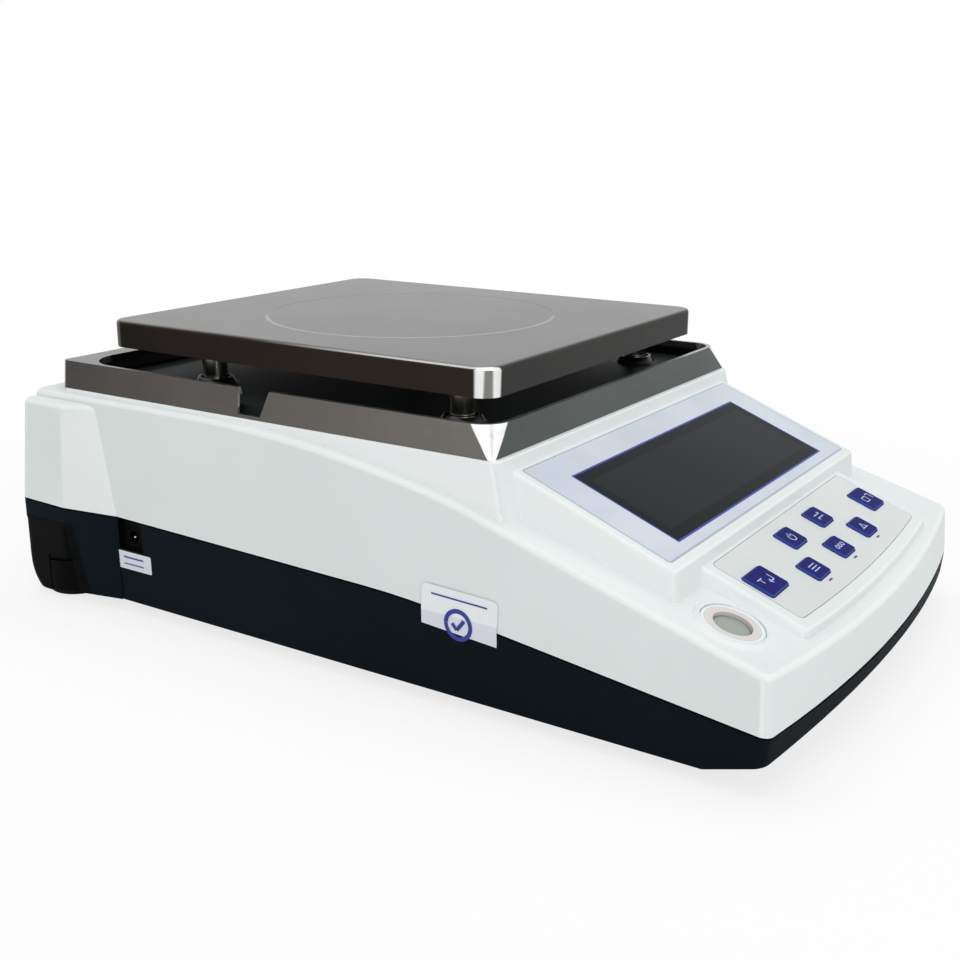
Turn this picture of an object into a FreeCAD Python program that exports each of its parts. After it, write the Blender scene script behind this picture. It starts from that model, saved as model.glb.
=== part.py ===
import math
import os

from FreeCAD import Vector
import Part

os.makedirs("parts", exist_ok=True)

# Laboratory scale with a rectangular weighing pan, in millimetres.
# X runs to the user's right, Y to the rear and Z up from the table; the origin lies under the
# middle of the overall box. Pieces are separate solids and are written one file each.

# Body
BODY_SIDE = 22.0              # pan edge to the side of the body at the split line
FRONT_MARGIN = 6.2            # keypad to the front corners of the body
FRONT_BOW = 8.5               # how far the middle of the front stands past its corners
BODY_WALL = 2.6               # moulded wall of the upper housing and of the base
SIDE_DRAFT = 4.0              # degrees, upper housing walls
FRONT_DRAFT = 7.5             # degrees, against the tilted split plane
BASE_DRAFT = 1.0              # degrees, base walls
CORNER_RADIUS = 4.0           # upright corners of the body
SHOULDER_RADIUS = 3.2         # rounding along the shoulder and the front edge
SEAM_GAP = 0.8                # shadow line between the housing and the base
LIP_HEIGHT = 3.0              # base tongue that stands up inside the housing
LIP_CLEARANCE = 0.3
LIP_WALL = 1.4

# Side view of the body
SHOULDER_Z = 93.4             # level ledge round the rear of the tray
SHOULDER_BEND_FROM_FRONT = 195.9   # where the level ledge starts to fall
SHOULDER_BEND_RADIUS = 600.0
MID_SLOPE = 0.197
DECK_BEND_FROM_FRONT = 124.4  # where the fall steepens into the deck
DECK_BEND_RADIUS = 260.0
DECK_SLOPE = 0.30
SEAM_BEND_FROM_FRONT = 142.1
SEAM_BEND_Z = 39.6
SEAM_BEND_RADIUS = 400.0
SEAM_REAR_SLOPE = 0.025
SEAM_FRONT_SLOPE = 0.124
UNDERSIDE_Z = 5.3             # base floor above the table
CHAMFER_LENGTH = 22.0         # rising front part of the underside
CHAMFER_RISE = 6.8

# Rear corner swellings over the levelling feet
SWELL_OUT = 5.7               # past the side walls
SWELL_REAR_STEP = 1.0         # how far the rear wall lies inside them
SWELL_TOP_DROP = 3.4          # below the shoulder
SWELL_FULL_LENGTH = 29.0      # full-width part, from the rear face forward
SWELL_FACET_LENGTH = 27.0     # slanting part ahead of it, at the split line
SWELL_EDGE_RADIUS = 3.0
SWELL_CORNER_RADIUS = 5.0
SWELL_FACET_SHORTENING = 0.55  # the slanting part at the top, against its foot
RIM_HEIGHT = 9.0              # band of the base that stays above the foot notch
NOTCH_LEAN = 6.0              # the notch's front edge leans forward by this much

# Tray plinth, tray frame and tray floor
PLINTH_TOP_ABOVE_SHOULDER = 1.2
PLINTH_FRONT_LEAN = 0.22      # forward per millimetre down
PLINTH_CORNER_RADIUS = 4.5
PLINTH_MARGIN = 0.5           # past the foot of the tray frame, at its sides and rear
PLINTH_FRONT_MARGIN = 2.0
PLINTH_EDGE_RADIUS = 1.0
TRAY_SIDE_MARGIN = 14.2       # edge of the pan to the foot of the frame
TRAY_FRONT_MARGIN = 10.1
TRAY_REAR_MARGIN = 16.3
TRAY_HEIGHT = 11.2
TRAY_SIDE_LEAN = 3.7
TRAY_FRONT_LEAN = 2.2
TRAY_REAR_FLARE = 2.9         # the rear wall leans outwards
TRAY_SHEET = 1.2
TRAY_RIM = 2.0                # width of the flat rim
TRAY_REAR_RIM = 9.6
TRAY_CONE_RADIUS = 10.7       # front corners at the rim
TRAY_FOOT_RADIUS = 2.3        # front corners at the foot, and the rear corners
TRAY_OPENING_REAR_RADIUS = 18.5
TRAY_LIP = 3.0                # downturned inner edge
NOTCH_TOP = 16.9              # finger notches in both sides of the frame
NOTCH_FOOT = 11.7
NOTCH_LEFT = 1.3              # wall height left under a notch
NOTCH_FROM_PAN = 5.4          # behind the pan centre
FLOOR_HEIGHT = 4.2            # floor surface above the plinth
FLOOR_PLATE = 2.0
FLOOR_STEP_DOWN = 1.8         # lower rear strip
FLOOR_STEP_FROM_PAN = 93.8
FLOOR_CLEARANCE = 0.3
COLLAR_HEIGHT = 3.0
COLLAR_FOOT_RADIUS = 10.0
COLLAR_TOP_RADIUS = 7.4
COLLAR_FOOT_WALL = 1.6        # skirt that carries each collar on the plinth

# Weighing pan and what carries it
PAN_WIDTH = 176.0
PAN_LENGTH = 198.0
PAN_SKIRT = 11.5
PAN_SHEET = 1.2
PAN_CORNER_RADIUS = 8.5
PAN_EDGE_RADIUS = 1.6
PAN_REAR_MARGIN = 35.2        # pan to the body's rear face
PAN_OVER_TRAY = 18.1          # pan top above the rim of the tray frame
POST_RADIUS = 5.25
POST_SIDE_MARGIN = 15.4       # side edge of the pan to the posts
POST_FRONT_MARGIN = 22.45     # front edge of the pan to the posts
POST_REAR_MARGIN = 47.65
POST_FLANGE_RADIUS = 9.0
POST_FLANGE = 1.4
POST_TIP_RADIUS = 3.4
POST_HOLE_CLEARANCE = 1.1     # round the posts in the tray floor
HOUSING_HOLE_CLEARANCE = 2.4  # round the posts in the plinth
CARRIER_DROP = 15.0           # top of the carrier cups below the plinth top
CUP_RADIUS = 10.0
CUP_HEIGHT = 9.0
CUP_FLOOR = 2.5
BUSH_WALL = 2.0
BUSH_FLOOR = 1.5
BUSH_CLEARANCE = 0.3
BUSH_RIM = 1.2                # the bush stands this far out of its cup
ARM_WIDTH = 11.0
ARM_RIB = 3.0                 # rib along each arm, up to the cup's rim
ARM_HEIGHT = 6.5
HUB_WIDTH = 44.0
HUB_LENGTH = 66.0
CELL_LENGTH = 130.0
CELL_WIDTH = 30.0
CELL_HEIGHT = 22.0
CELL_WEB = 1.6                # thinnest place over the flexure bores
CELL_BORE_SPREAD = 34.0
CELL_SLOT = 11.3              # height of the slot between the flexure bores
CELL_SPACER = 6.0
CELL_BLOCK = 30.0             # length of each spacer along the cell
CELL_THREAD = 8.0             # depth of the bolts in the cell
BOLT_RADIUS = 2.5
BOLT_SPACING = 16.0
BOLT_HEAD_RADIUS = 4.6        # across the corners of the hexagon
BOLT_HEAD = 4.0
BOLT_CLEARANCE = 0.1
CHASSIS_THICKNESS = 4.0
CHASSIS_WIDTH = 120.0
CHASSIS_LENGTH = 170.0
CHASSIS_CORNER_RADIUS = 8.0
CHASSIS_SCREW_INSET = 8.0
CHASSIS_WINDOW_SIDE = 12.0    # side edge of the plate to its window
CHASSIS_WINDOW_END = 24.0
CHASSIS_WINDOW_WIDTH = 22.0
STOP_GAP = 0.9                # overload stop below the free end
STOP_RADIUS = 4.0
STOP_NUT = 2.5                # height of the lock nut, and how far it stands past the stem

# Display wedge
WEDGE_SIDE_LEDGE = 15.9       # side of the body to the wedge
WEDGE_SLOPE = 0.394
WEDGE_REAR_BELOW_TRAY = 4.6
WEDGE_DEPTH = 63.8            # front to rear, in plan
WEDGE_FACE_LEAN = 0.10
WEDGE_EDGE_RADIUS = 1.6
OVERLAY_SIDE_MARGIN = 3.8
OVERLAY_REAR_MARGIN = 1.6
OVERLAY_FRONT_MARGIN = 3.6
OVERLAY_THICKNESS = 0.8
OVERLAY_CORNER_RADIUS = 1.5
OVERLAY_CLEARANCE = 0.15
WINDOW_SIDE_MARGIN = 21.1     # side of the wedge to the window
WINDOW_FROM_REAR = 14.2       # rear edge of the wedge to the window, along the slope
WINDOW_FROM_FRONT = 9.6
WINDOW_CUT_MARGIN = 1.0       # opening in the housing round the window
LCD_BORDER = 4.0
LCD_THICKNESS = 4.0
DISPLAY_BOARD_GAP = 2.0
DISPLAY_BOSS_RADIUS = 3.0
PIN_ROW = 1.5                 # width of the LCD's pin rows

# Keypad
KEYPAD_SIDE_LEDGE = 36.5      # side of the body to the keypad
KEYPAD_SLOPE = 0.38
KEYPAD_REAR_Z_ABOVE_DECK = 6.4
KEYPAD_DEPTH = 38.2           # in plan, to the front corners
KEYPAD_BOW = 3.2
KEYPAD_EDGE_RADIUS = 1.6
KEYPAD_CORNER_RADIUS = 2.0
PANEL_SIDE_MARGIN = 5.7
PANEL_REAR_MARGIN = 0.9
PANEL_FRONT_MARGIN = 3.9
PANEL_THICKNESS = 1.0
PANEL_CLEARANCE = 0.2
PANEL_CORNER_RADIUS = 2.2
KEY_CLEARANCE = 0.3
KEY_PROUD = 0.9
KEY_CORNER_RADIUS = 1.4
KEY_BEVEL = 0.5
KEY_FLANGE = 1.1
KEY_FLANGE_THICKNESS = 0.8
KEY_OUTER_MARGIN = 9.6        # outer keys' centres, from the panel's side
KEY_BOSS_RADIUS = 2.6
BOARD_THICKNESS = 1.6
DOME_RADIUS = 3.0
DOME_TOP_RADIUS = 1.8
DOME_HEIGHT = 0.3
DOME_GAP = 0.7

# Bubble level on the deck
LEVEL_FROM_SIDE = 20.4
LEVEL_FROM_FRONT = 22.3       # level centre behind the front corners
LEVEL_RING_RADIUS = 11.4
LEVEL_GLASS_RADIUS = 7.0
LEVEL_COLLAR_WIDTH = 2.6
LEVEL_COLLAR_HEIGHT = 1.3
LEVEL_DEPTH = 9.0
LEVEL_FLOOR = 1.5
LEVEL_SEAT = 2.0              # the housing's seat ends this far above the level's foot
LEVEL_SEAT_WALL = 1.6
LEVEL_EDGE = 0.4              # bevel of the ring, and how far it lies below the collar
VIAL_CROWN = 0.6
LEVEL_CLEARANCE = 0.2

# Inlet in the left side of the base
INLET_FROM_REAR = 64.0
INLET_Z = 34.8
INLET_WIDTH = 14.5
INLET_BELOW = 5.5             # recess below the inlet's axis
INLET_RECESS = 2.4
INLET_WALL = 2.4              # behind the recess
INLET_FRAME = 2.0             # round the recess
JACK_BORE_RADIUS = 2.9
JACK_MOUTH = 4.0              # plain bore ahead of the pin
JACK_SLEEVE_RADIUS = 2.7      # contact sleeve round the pin
JACK_PIN_RADIUS = 1.05
JACK_PIN_SETBACK = 0.4
JACK_BACK = 1.6               # closed end of the body
JACK_LENGTH = 12.0
JACK_BODY = 9.4
JACK_NOSE_RADIUS = 4.2

# Feet
FOOT_FROM_SIDE = 10.4
FOOT_FROM_REAR = 16.1
FOOT_POCKET_CLEARANCE = 3.2   # round the knob, towards the inside
KNOB_RADIUS = 15.8
KNOB_HEIGHT = 17.0
KNOB_EDGE_BEVEL = 3.0
KNOB_GAP = 0.8                # below the foot column
KNOB_LIFT = 0.6               # knob underside above the table
COLUMN_TAPER = 0.2
STUD_RADIUS = 4.0
STUD_ENGAGEMENT = 14.0
STUD_CLEARANCE = 0.08
PAD_RADIUS = 11.0
PAD_HEIGHT = 3.0
PAD_CLEARANCE = 0.3
FRONT_FOOT_FROM_SIDE = 20.0
FRONT_FOOT_FROM_FRONT = 34.0
FRONT_FOOT_RADIUS = 8.0
FRONT_FOOT_SEAT = 1.6
FRONT_FOOT_EDGE = 0.8
FRONT_FOOT_CLEARANCE = 0.1

# Inside the base
MAIN_BOARD_WIDTH = 150.0
MAIN_BOARD_DEPTH = 74.0
MAIN_BOARD_Z = 15.0
MAIN_BOARD_FROM_FRONT = 26.0
BOARD_SCREW_INSET = 6.0
# middle to the right, middle behind the board's middle, width, depth, height
BOARD_PARTS = [
    (-13.0, 0.0, 14.0, 14.0, 1.6),
    (14.0, 0.0, 8.0, 10.0, 1.6),
    (-49.0, 15.0, 18.0, 6.0, 7.0),
    (43.0, 16.5, 26.0, 5.0, 7.0),
    (-44.0, -12.0, 20.0, 8.0, 9.0),
    (40.0, -8.0, 24.0, 24.0, 5.0),
]
SCREW_RADIUS = 1.5
SCREW_HEAD_RADIUS = 2.9
SCREW_HEAD = 2.0
CHASSIS_SCREW_LENGTH = 12.0
BOARD_SCREW_LENGTH = 6.0
SCREW_CLEARANCE = 0.1
SCREW_BITE = 12.0             # screw hole in the housing's bosses
SCREW_HEAD_CLEARANCE = 0.4
JOIN_Z = 1.5                  # housing bosses end this far above the split line
BOSS_RADIUS = 4.0
BOSS_INSET = 4.5              # small bosses, from the ends of the display and of the keypad
RIB = 1.8
RIB_HEIGHT = 5.0
RIB_SPREAD = 60.0             # between the lengthwise ribs
FRONT_SCREW_PLACE = (18.0, 59.5)   # from the side, and from the front corners
MIDDLE_SCREW_PLACE = (15.0, 5.8)   # from the side, and ahead of the pan's centre
REAR_SCREW_PLACE = (48.0, 18.0)    # from the side, and from the rear

# Places that follow from the sizes above
BODY_WIDTH = PAN_WIDTH + 2 * BODY_SIDE
BODY_LENGTH = PAN_REAR_MARGIN + PAN_LENGTH + TRAY_FRONT_MARGIN + WEDGE_DEPTH + KEYPAD_DEPTH + FRONT_MARGIN
REAR_Y = (BODY_LENGTH + FRONT_BOW) / 2.0
FRONT_Y = REAR_Y - BODY_LENGTH
SHOULDER_BEND_Y = FRONT_Y + SHOULDER_BEND_FROM_FRONT
DECK_BEND_Y = FRONT_Y + DECK_BEND_FROM_FRONT
DECK_BEND_Z = SHOULDER_Z - MID_SLOPE * (SHOULDER_BEND_Y - DECK_BEND_Y)
SEAM_BEND_Y = FRONT_Y + SEAM_BEND_FROM_FRONT
PLINTH_Z = SHOULDER_Z + PLINTH_TOP_ABOVE_SHOULDER
PAN_Y = REAR_Y - PAN_REAR_MARGIN - PAN_LENGTH / 2.0
TRAY_WIDTH = PAN_WIDTH + 2 * TRAY_SIDE_MARGIN
TRAY_FRONT_Y = PAN_Y - PAN_LENGTH / 2.0 - TRAY_FRONT_MARGIN
TRAY_REAR_Y = PAN_Y + PAN_LENGTH / 2.0 + TRAY_REAR_MARGIN
TRAY_RIM_Z = PLINTH_Z + TRAY_HEIGHT
PAN_TOP_Z = TRAY_RIM_Z + PAN_OVER_TRAY
FLOOR_Z = PLINTH_Z + FLOOR_HEIGHT
POST_X = PAN_WIDTH / 2.0 - POST_SIDE_MARGIN
POST_FRONT_Y = PAN_Y - PAN_LENGTH / 2.0 + POST_FRONT_MARGIN
POST_REAR_Y = PAN_Y + PAN_LENGTH / 2.0 - POST_REAR_MARGIN
POST_PLACES = [(side * POST_X, y) for y in (POST_FRONT_Y, POST_REAR_Y) for side in (-1, 1)]
POST_NAMES = ["front_left", "front_right", "rear_left", "rear_right"]
CARRIER_Y = (POST_FRONT_Y + POST_REAR_Y) / 2.0
CUP_TOP_Z = PLINTH_Z - CARRIER_DROP
BUSH_FLOOR_Z = CUP_TOP_Z - CUP_HEIGHT + CUP_FLOOR + BUSH_FLOOR
ARM_FOOT_Z = CUP_TOP_Z - CUP_HEIGHT
HUB_TOP_Z = ARM_FOOT_Z + ARM_HEIGHT
CELL_FRONT_Y = PAN_Y - CELL_LENGTH / 2.0
CELL_REAR_Y = PAN_Y + CELL_LENGTH / 2.0
CELL_TOP_Z = ARM_FOOT_Z - CELL_SPACER
CELL_FOOT_Z = CELL_TOP_Z - CELL_HEIGHT
CARRIER_BOLTS = [(side * BOLT_SPACING / 2.0, CELL_FRONT_Y + CELL_BLOCK / 2.0) for side in (-1, 1)]
CELL_BOLTS = [(side * BOLT_SPACING / 2.0, CELL_REAR_Y - CELL_BLOCK / 2.0) for side in (-1, 1)]
CHASSIS_TOP_Z = CELL_FOOT_Z - CELL_SPACER
CHASSIS_SCREW_X = CHASSIS_WIDTH / 2.0 - CHASSIS_SCREW_INSET
CHASSIS_SCREW_Y = CHASSIS_LENGTH / 2.0 - CHASSIS_SCREW_INSET
CHASSIS_SCREWS = [(sx * CHASSIS_SCREW_X, PAN_Y + sy * CHASSIS_SCREW_Y) for sx in (-1, 1) for sy in (-1, 1)]
BOARD_FRONT_Y = FRONT_Y + MAIN_BOARD_FROM_FRONT
BOARD_MIDDLE_Y = BOARD_FRONT_Y + MAIN_BOARD_DEPTH / 2.0
BOARD_SCREW_X = MAIN_BOARD_WIDTH / 2.0 - BOARD_SCREW_INSET
BOARD_SCREW_Y = MAIN_BOARD_DEPTH / 2.0 - BOARD_SCREW_INSET
BOARD_SCREWS = [(sx * BOARD_SCREW_X, BOARD_MIDDLE_Y + sy * BOARD_SCREW_Y) for sx in (-1, 1) for sy in (-1, 1)]
HOUSING_SCREWS = [
    (side * (BODY_WIDTH / 2.0 - from_side), y)
    for from_side, y in (
        (FRONT_SCREW_PLACE[0], FRONT_Y + FRONT_SCREW_PLACE[1]),
        (MIDDLE_SCREW_PLACE[0], PAN_Y - MIDDLE_SCREW_PLACE[1]),
        (REAR_SCREW_PLACE[0], REAR_Y - REAR_SCREW_PLACE[1]),
    )
    for side in (-1, 1)
]
INNER_FLOOR_Z = UNDERSIDE_Z + BODY_WALL
INLET_Y = REAR_Y - INLET_FROM_REAR
INLET_FACE_X = -BODY_WIDTH / 2.0 + INLET_RECESS
FOOT_X = BODY_WIDTH / 2.0 - FOOT_FROM_SIDE
FOOT_Y = REAR_Y - FOOT_FROM_REAR
FRONT_FOOT_X = BODY_WIDTH / 2.0 - FRONT_FOOT_FROM_SIDE
FRONT_FOOT_Y = FRONT_Y + FRONT_FOOT_FROM_FRONT
LEVEL_X = LEVEL_FROM_SIDE - BODY_WIDTH / 2.0
LEVEL_Y = FRONT_Y + LEVEL_FROM_FRONT
WEDGE_WIDTH = BODY_WIDTH - 2 * WEDGE_SIDE_LEDGE
WEDGE_STRETCH = math.sqrt(1 + WEDGE_SLOPE ** 2)
WEDGE_REAR_Z = PLINTH_Z - WEDGE_REAR_BELOW_TRAY
WEDGE_REAR_Y = TRAY_FRONT_Y - PLINTH_FRONT_MARGIN - WEDGE_REAR_BELOW_TRAY * PLINTH_FRONT_LEAN
WEDGE_FRONT_Y = WEDGE_REAR_Y - WEDGE_DEPTH
WEDGE_FRONT_Z = WEDGE_REAR_Z - WEDGE_DEPTH * WEDGE_SLOPE
OVERLAY_FRONT = -(WEDGE_DEPTH - OVERLAY_FRONT_MARGIN) * WEDGE_STRETCH
OVERLAY_REAR = -OVERLAY_REAR_MARGIN * WEDGE_STRETCH
OVERLAY_HALF = WEDGE_WIDTH / 2.0 - OVERLAY_SIDE_MARGIN
WINDOW_WIDTH = WEDGE_WIDTH - 2 * WINDOW_SIDE_MARGIN
WINDOW_FRONT = WINDOW_FROM_FRONT - WEDGE_DEPTH * WEDGE_STRETCH
DISPLAY_SCREWS_X = WINDOW_WIDTH / 2.0 + LCD_BORDER + 5.0
DISPLAY_BOARD_TOP = -BODY_WALL - LCD_THICKNESS - DISPLAY_BOARD_GAP
KEYPAD_WIDTH = BODY_WIDTH - 2 * KEYPAD_SIDE_LEDGE
KEYPAD_STRETCH = math.sqrt(1 + KEYPAD_SLOPE ** 2)
KEY_FLANGE_TOP = -BODY_WALL - 0.1
KEYPAD_BOARD_TOP = KEY_FLANGE_TOP - KEY_FLANGE_THICKNESS - DOME_GAP - DOME_HEIGHT
PANEL_LENGTH = (KEYPAD_DEPTH - PANEL_FRONT_MARGIN - PANEL_REAR_MARGIN) * KEYPAD_STRETCH
PANEL_WIDTH = KEYPAD_WIDTH - 2 * PANEL_SIDE_MARGIN
PANEL_BOW = KEYPAD_BOW * (PANEL_WIDTH / KEYPAD_WIDTH) ** 2
KEY_OUTER_X = PANEL_WIDTH / 2.0 - KEY_OUTER_MARGIN
# name, centre to the right, centre behind the panel's front corners, width, depth
KEYS = [
    ("key_tare", -KEY_OUTER_X, 18.4, 16.1, 12.8),
    ("key_power", -15.4, 25.6, 12.8, 10.2),
    ("key_mode", 15.4, 25.6, 12.8, 10.2),
    ("key_print", KEY_OUTER_X, 18.8, 14.1, 13.0),
    ("key_set", -29.0, 10.6, 12.7, 10.2),
    ("key_count", 0.0, 10.6, 12.7, 10.2),
    ("key_unit", 29.0, 10.6, 12.7, 10.2),
]
FAR = 400.0                   # past every face of the body


def deck_z(y):
    """Height of the sloping deck at a distance y."""
    return DECK_BEND_Z + DECK_SLOPE * (y - DECK_BEND_Y)


def seam_z(y):
    """Height of the split line at a distance y, its bend left sharp."""
    slope = SEAM_REAR_SLOPE if y > SEAM_BEND_Y else SEAM_FRONT_SLOPE
    return SEAM_BEND_Z + slope * (y - SEAM_BEND_Y)


SEAM_TILT = math.degrees(math.atan((seam_z(REAR_Y) - seam_z(FRONT_Y)) / BODY_LENGTH))


def box(x0, x1, y0, y1, z0, z1):
    return Part.makeBox(x1 - x0, y1 - y0, z1 - z0, Vector(x0, y0, z0))


def cylinder(x, y, z0, z1, radius):
    return Part.makeCylinder(radius, z1 - z0, Vector(x, y, z0))


def cone(x, y, z0, z1, radius0, radius1):
    return Part.makeCone(radius0, radius1, z1 - z0, Vector(x, y, z0))


def outline(corners):
    """Closed wire through 3D corners; a corner with a radius is rounded by a tangent arc."""
    points = [Vector(*corner[0]) for corner in corners]
    radii = [corner[1] for corner in corners]
    count = len(points)
    starts = []
    ends = []
    edges = []
    for i in range(count):
        point = points[i]
        back = (points[i - 1] - point).normalize()
        ahead = (points[(i + 1) % count] - point).normalize()
        if radii[i] <= 0:
            starts.append(point)
            ends.append(point)
            continue
        half = back.getAngle(ahead) / 2.0
        reach = radii[i] / math.tan(half)
        start = point + back * reach
        end = point + ahead * reach
        middle = (back + ahead).normalize()
        centre = point + middle * (radii[i] / math.sin(half))
        edges.append((i, Part.Arc(start, centre - middle * radii[i], end).toShape()))
        starts.append(start)
        ends.append(end)
    arcs = dict(edges)
    path = []
    for i in range(count):
        if i in arcs:
            path.append(arcs[i])
        start = ends[i]
        end = starts[(i + 1) % count]
        if start.distanceToPoint(end) > 1e-6:
            path.append(Part.LineSegment(start, end).toShape())
    return Part.Wire(path)


def side_prism(corners, half_width):
    """Prism across X from a side-view outline of (y, z, radius) corners."""
    wire = outline([((-half_width, y, z), r) for y, z, r in corners])
    return Part.Face(wire).extrude(Vector(2 * half_width, 0, 0))


def plan_prism(corners, z0, z1):
    """Upright prism from a plan outline of (x, y, radius) corners."""
    wire = outline([((x, y, z0), r) for x, y, r in corners])
    return Part.Face(wire).extrude(Vector(0, 0, z1 - z0))


def rounded_rect(x0, x1, y0, y1, radius):
    return [(x0, y0, radius), (x1, y0, radius), (x1, y1, radius), (x0, y1, radius)]


def loft(lower, z0, upper, z1):
    """Solid between two plan outlines at two heights."""
    wires = [outline([((x, y, z0), r) for x, y, r in lower])]
    wires.append(outline([((x, y, z1), r) for x, y, r in upper]))
    return Part.makeLoft(wires, True, True)


def on_slope(shape, slope, y, z):
    """Lay a shape drawn flat round the origin on a slope that rises to the rear."""
    placed = shape.copy()
    placed.rotate(Vector(0, 0, 0), Vector(1, 0, 0), math.degrees(math.atan(slope)))
    placed.translate(Vector(0, y, z))
    return placed


def fuse(shapes):
    whole = shapes[0]
    if len(shapes) > 1:
        whole = whole.multiFuse(shapes[1:])
    return whole.removeSplitter()


def fillet(shape, edges, radius):
    return shape.makeFillet(radius, edges) if edges else shape


def edges_where(shape, test):
    """Edges whose middle point passes a test."""
    found = []
    for edge in shape.Edges:
        middle = edge.valueAt((edge.FirstParameter + edge.LastParameter) / 2.0)
        if test(edge, middle):
            found.append(edge)
    return found


def is_upright(edge, limit=0.9):
    if len(edge.Vertexes) < 2:
        return False
    run = edge.Vertexes[-1].Point - edge.Vertexes[0].Point
    return run.Length > 1e-6 and abs(run.z) / run.Length > limit


def write(name, shape):
    print(name, "solids", len(shape.Solids), "valid", shape.isValid(), "mm3", round(shape.Volume))
    shape.exportStep("parts/" + name + ".step")


# Body form shared by the housing and the base

def bowed_plan(half_width, front_y, rear_y, bow, z):
    """Rectangle with a bowed front, as a wire at height z."""
    rear_left = Vector(-half_width, rear_y, z)
    front_left = Vector(-half_width, front_y, z)
    front_mid = Vector(0, front_y - bow, z)
    front_right = Vector(half_width, front_y, z)
    rear_right = Vector(half_width, rear_y, z)
    return Part.Wire([
        Part.LineSegment(rear_left, front_left).toShape(),
        Part.Arc(front_left, front_mid, front_right).toShape(),
        Part.LineSegment(front_right, rear_right).toShape(),
        Part.LineSegment(rear_right, rear_left).toShape(),
    ])


def wall_half(wall, upper, rounding):
    """Drafted walls above or below the tilted split plane, inset by a wall."""
    half = BODY_WIDTH / 2.0 - wall
    front = FRONT_Y + wall
    rear = REAR_Y - SWELL_REAR_STEP - wall
    seam = bowed_plan(half, front, rear, FRONT_BOW, 0)
    if upper:
        reach = BODY_WIDTH / 2.0
        side_in = reach * math.tan(math.radians(SIDE_DRAFT))
        front_in = reach * math.tan(math.radians(FRONT_DRAFT))
        far = bowed_plan(half - side_in, front + front_in, rear, FRONT_BOW, reach)
    else:
        reach = -BODY_WIDTH / 4.0
        base_in = -reach * math.tan(math.radians(BASE_DRAFT))
        upright = -reach * math.tan(math.radians(SEAM_TILT))
        far = bowed_plan(half - base_in, front + base_in, rear - base_in - upright, FRONT_BOW, reach)
    walls = Part.makeLoft([seam, far], True, True)
    if rounding > 0:
        walls = fillet(walls, edges_where(walls, lambda e, m: is_upright(e)), rounding)
    walls.rotate(Vector(0, 0, 0), Vector(1, 0, 0), SEAM_TILT)
    walls.translate(Vector(0, 0, seam_z(FRONT_Y) - FRONT_Y * math.tan(math.radians(SEAM_TILT))))
    return walls


def body_walls(wall, rounding):
    """Both halves of the body's walls."""
    return fuse([wall_half(wall, True, rounding), wall_half(wall, False, rounding)])


def seam_side(drop, above):
    """Everything above (or below) the split line lowered by drop."""
    z_far = FAR if above else -FAR
    corners = [
        (FAR, seam_z(FAR) - drop, 0),
        (SEAM_BEND_Y, SEAM_BEND_Z - drop, SEAM_BEND_RADIUS),
        (-FAR, seam_z(-FAR) - drop, 0),
        (-FAR, z_far, 0),
        (FAR, z_far, 0),
    ]
    return side_prism(corners, FAR)


def shoulder_profile(wall):
    """Side view of the housing under its shoulder and deck, inset by a wall."""
    mid_drop = wall * math.sqrt(1 + MID_SLOPE ** 2)
    deck_drop = wall * math.sqrt(1 + DECK_SLOPE ** 2)
    level = SHOULDER_Z - wall
    bend_y = SHOULDER_BEND_Y + (mid_drop - wall) / MID_SLOPE
    deck_bend_y = DECK_BEND_Y + (deck_drop - mid_drop) / (DECK_SLOPE - MID_SLOPE)
    deck_bend_z = deck_z(deck_bend_y) - deck_drop
    corners = [
        (FAR, level, 0),
        (bend_y, level, SHOULDER_BEND_RADIUS - wall),
        (deck_bend_y, deck_bend_z, DECK_BEND_RADIUS - wall),
        (-FAR, deck_z(-FAR) - deck_drop, 0),
        (-FAR, -FAR, 0),
        (FAR, -FAR, 0),
    ]
    return side_prism(corners, FAR)


def above_slope(slope, y, z):
    """Everything above a plane that rises to the rear."""
    return on_slope(box(-FAR, FAR, -FAR, FAR, 0, FAR), slope, y, z)


def swell(side, wall):
    """Rear corner swelling over a levelling foot: straight below the split line, drafted above."""
    split_z = seam_z(REAR_Y)
    top_z = SHOULDER_Z - SWELL_TOP_DROP - wall
    lean = (top_z - split_z) * math.tan(math.radians(SIDE_DRAFT))
    rear_lean = (top_z - split_z) * math.tan(math.radians(SEAM_TILT))
    inner = BODY_WIDTH / 2.0 - 4 * BODY_WALL
    face = BODY_WIDTH / 2.0 - wall
    out = face + SWELL_OUT
    rear = REAR_Y - wall
    full = REAR_Y - SWELL_FULL_LENGTH
    start = full - SWELL_FACET_LENGTH + wall
    corner = 0 if wall else SWELL_CORNER_RADIUS
    foot = [
        (side * inner, start, 0),
        (side * face, start, 0),
        (side * out, full + wall / 2, 0),
        (side * out, rear, corner),
        (side * inner, rear, 0),
    ]
    top_start = full - SWELL_FACET_LENGTH * SWELL_FACET_SHORTENING + wall
    top = [
        (side * inner, top_start, 0),
        (side * (face - lean), top_start, 0),
        (side * (out - lean), full + wall / 2, 0),
        (side * (out - lean), rear - rear_lean, corner),
        (side * inner, rear - rear_lean, 0),
    ]
    upper = loft(foot, split_z, top, top_z)
    if wall == 0:
        rim = edges_where(upper, lambda e, m: m.z > top_z - 0.01 and abs(m.x) > inner + 2)
        upper = fillet(upper, rim, SWELL_EDGE_RADIUS)
    lower = plan_prism(foot, 0, split_z)
    return fuse([upper, lower])


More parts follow.
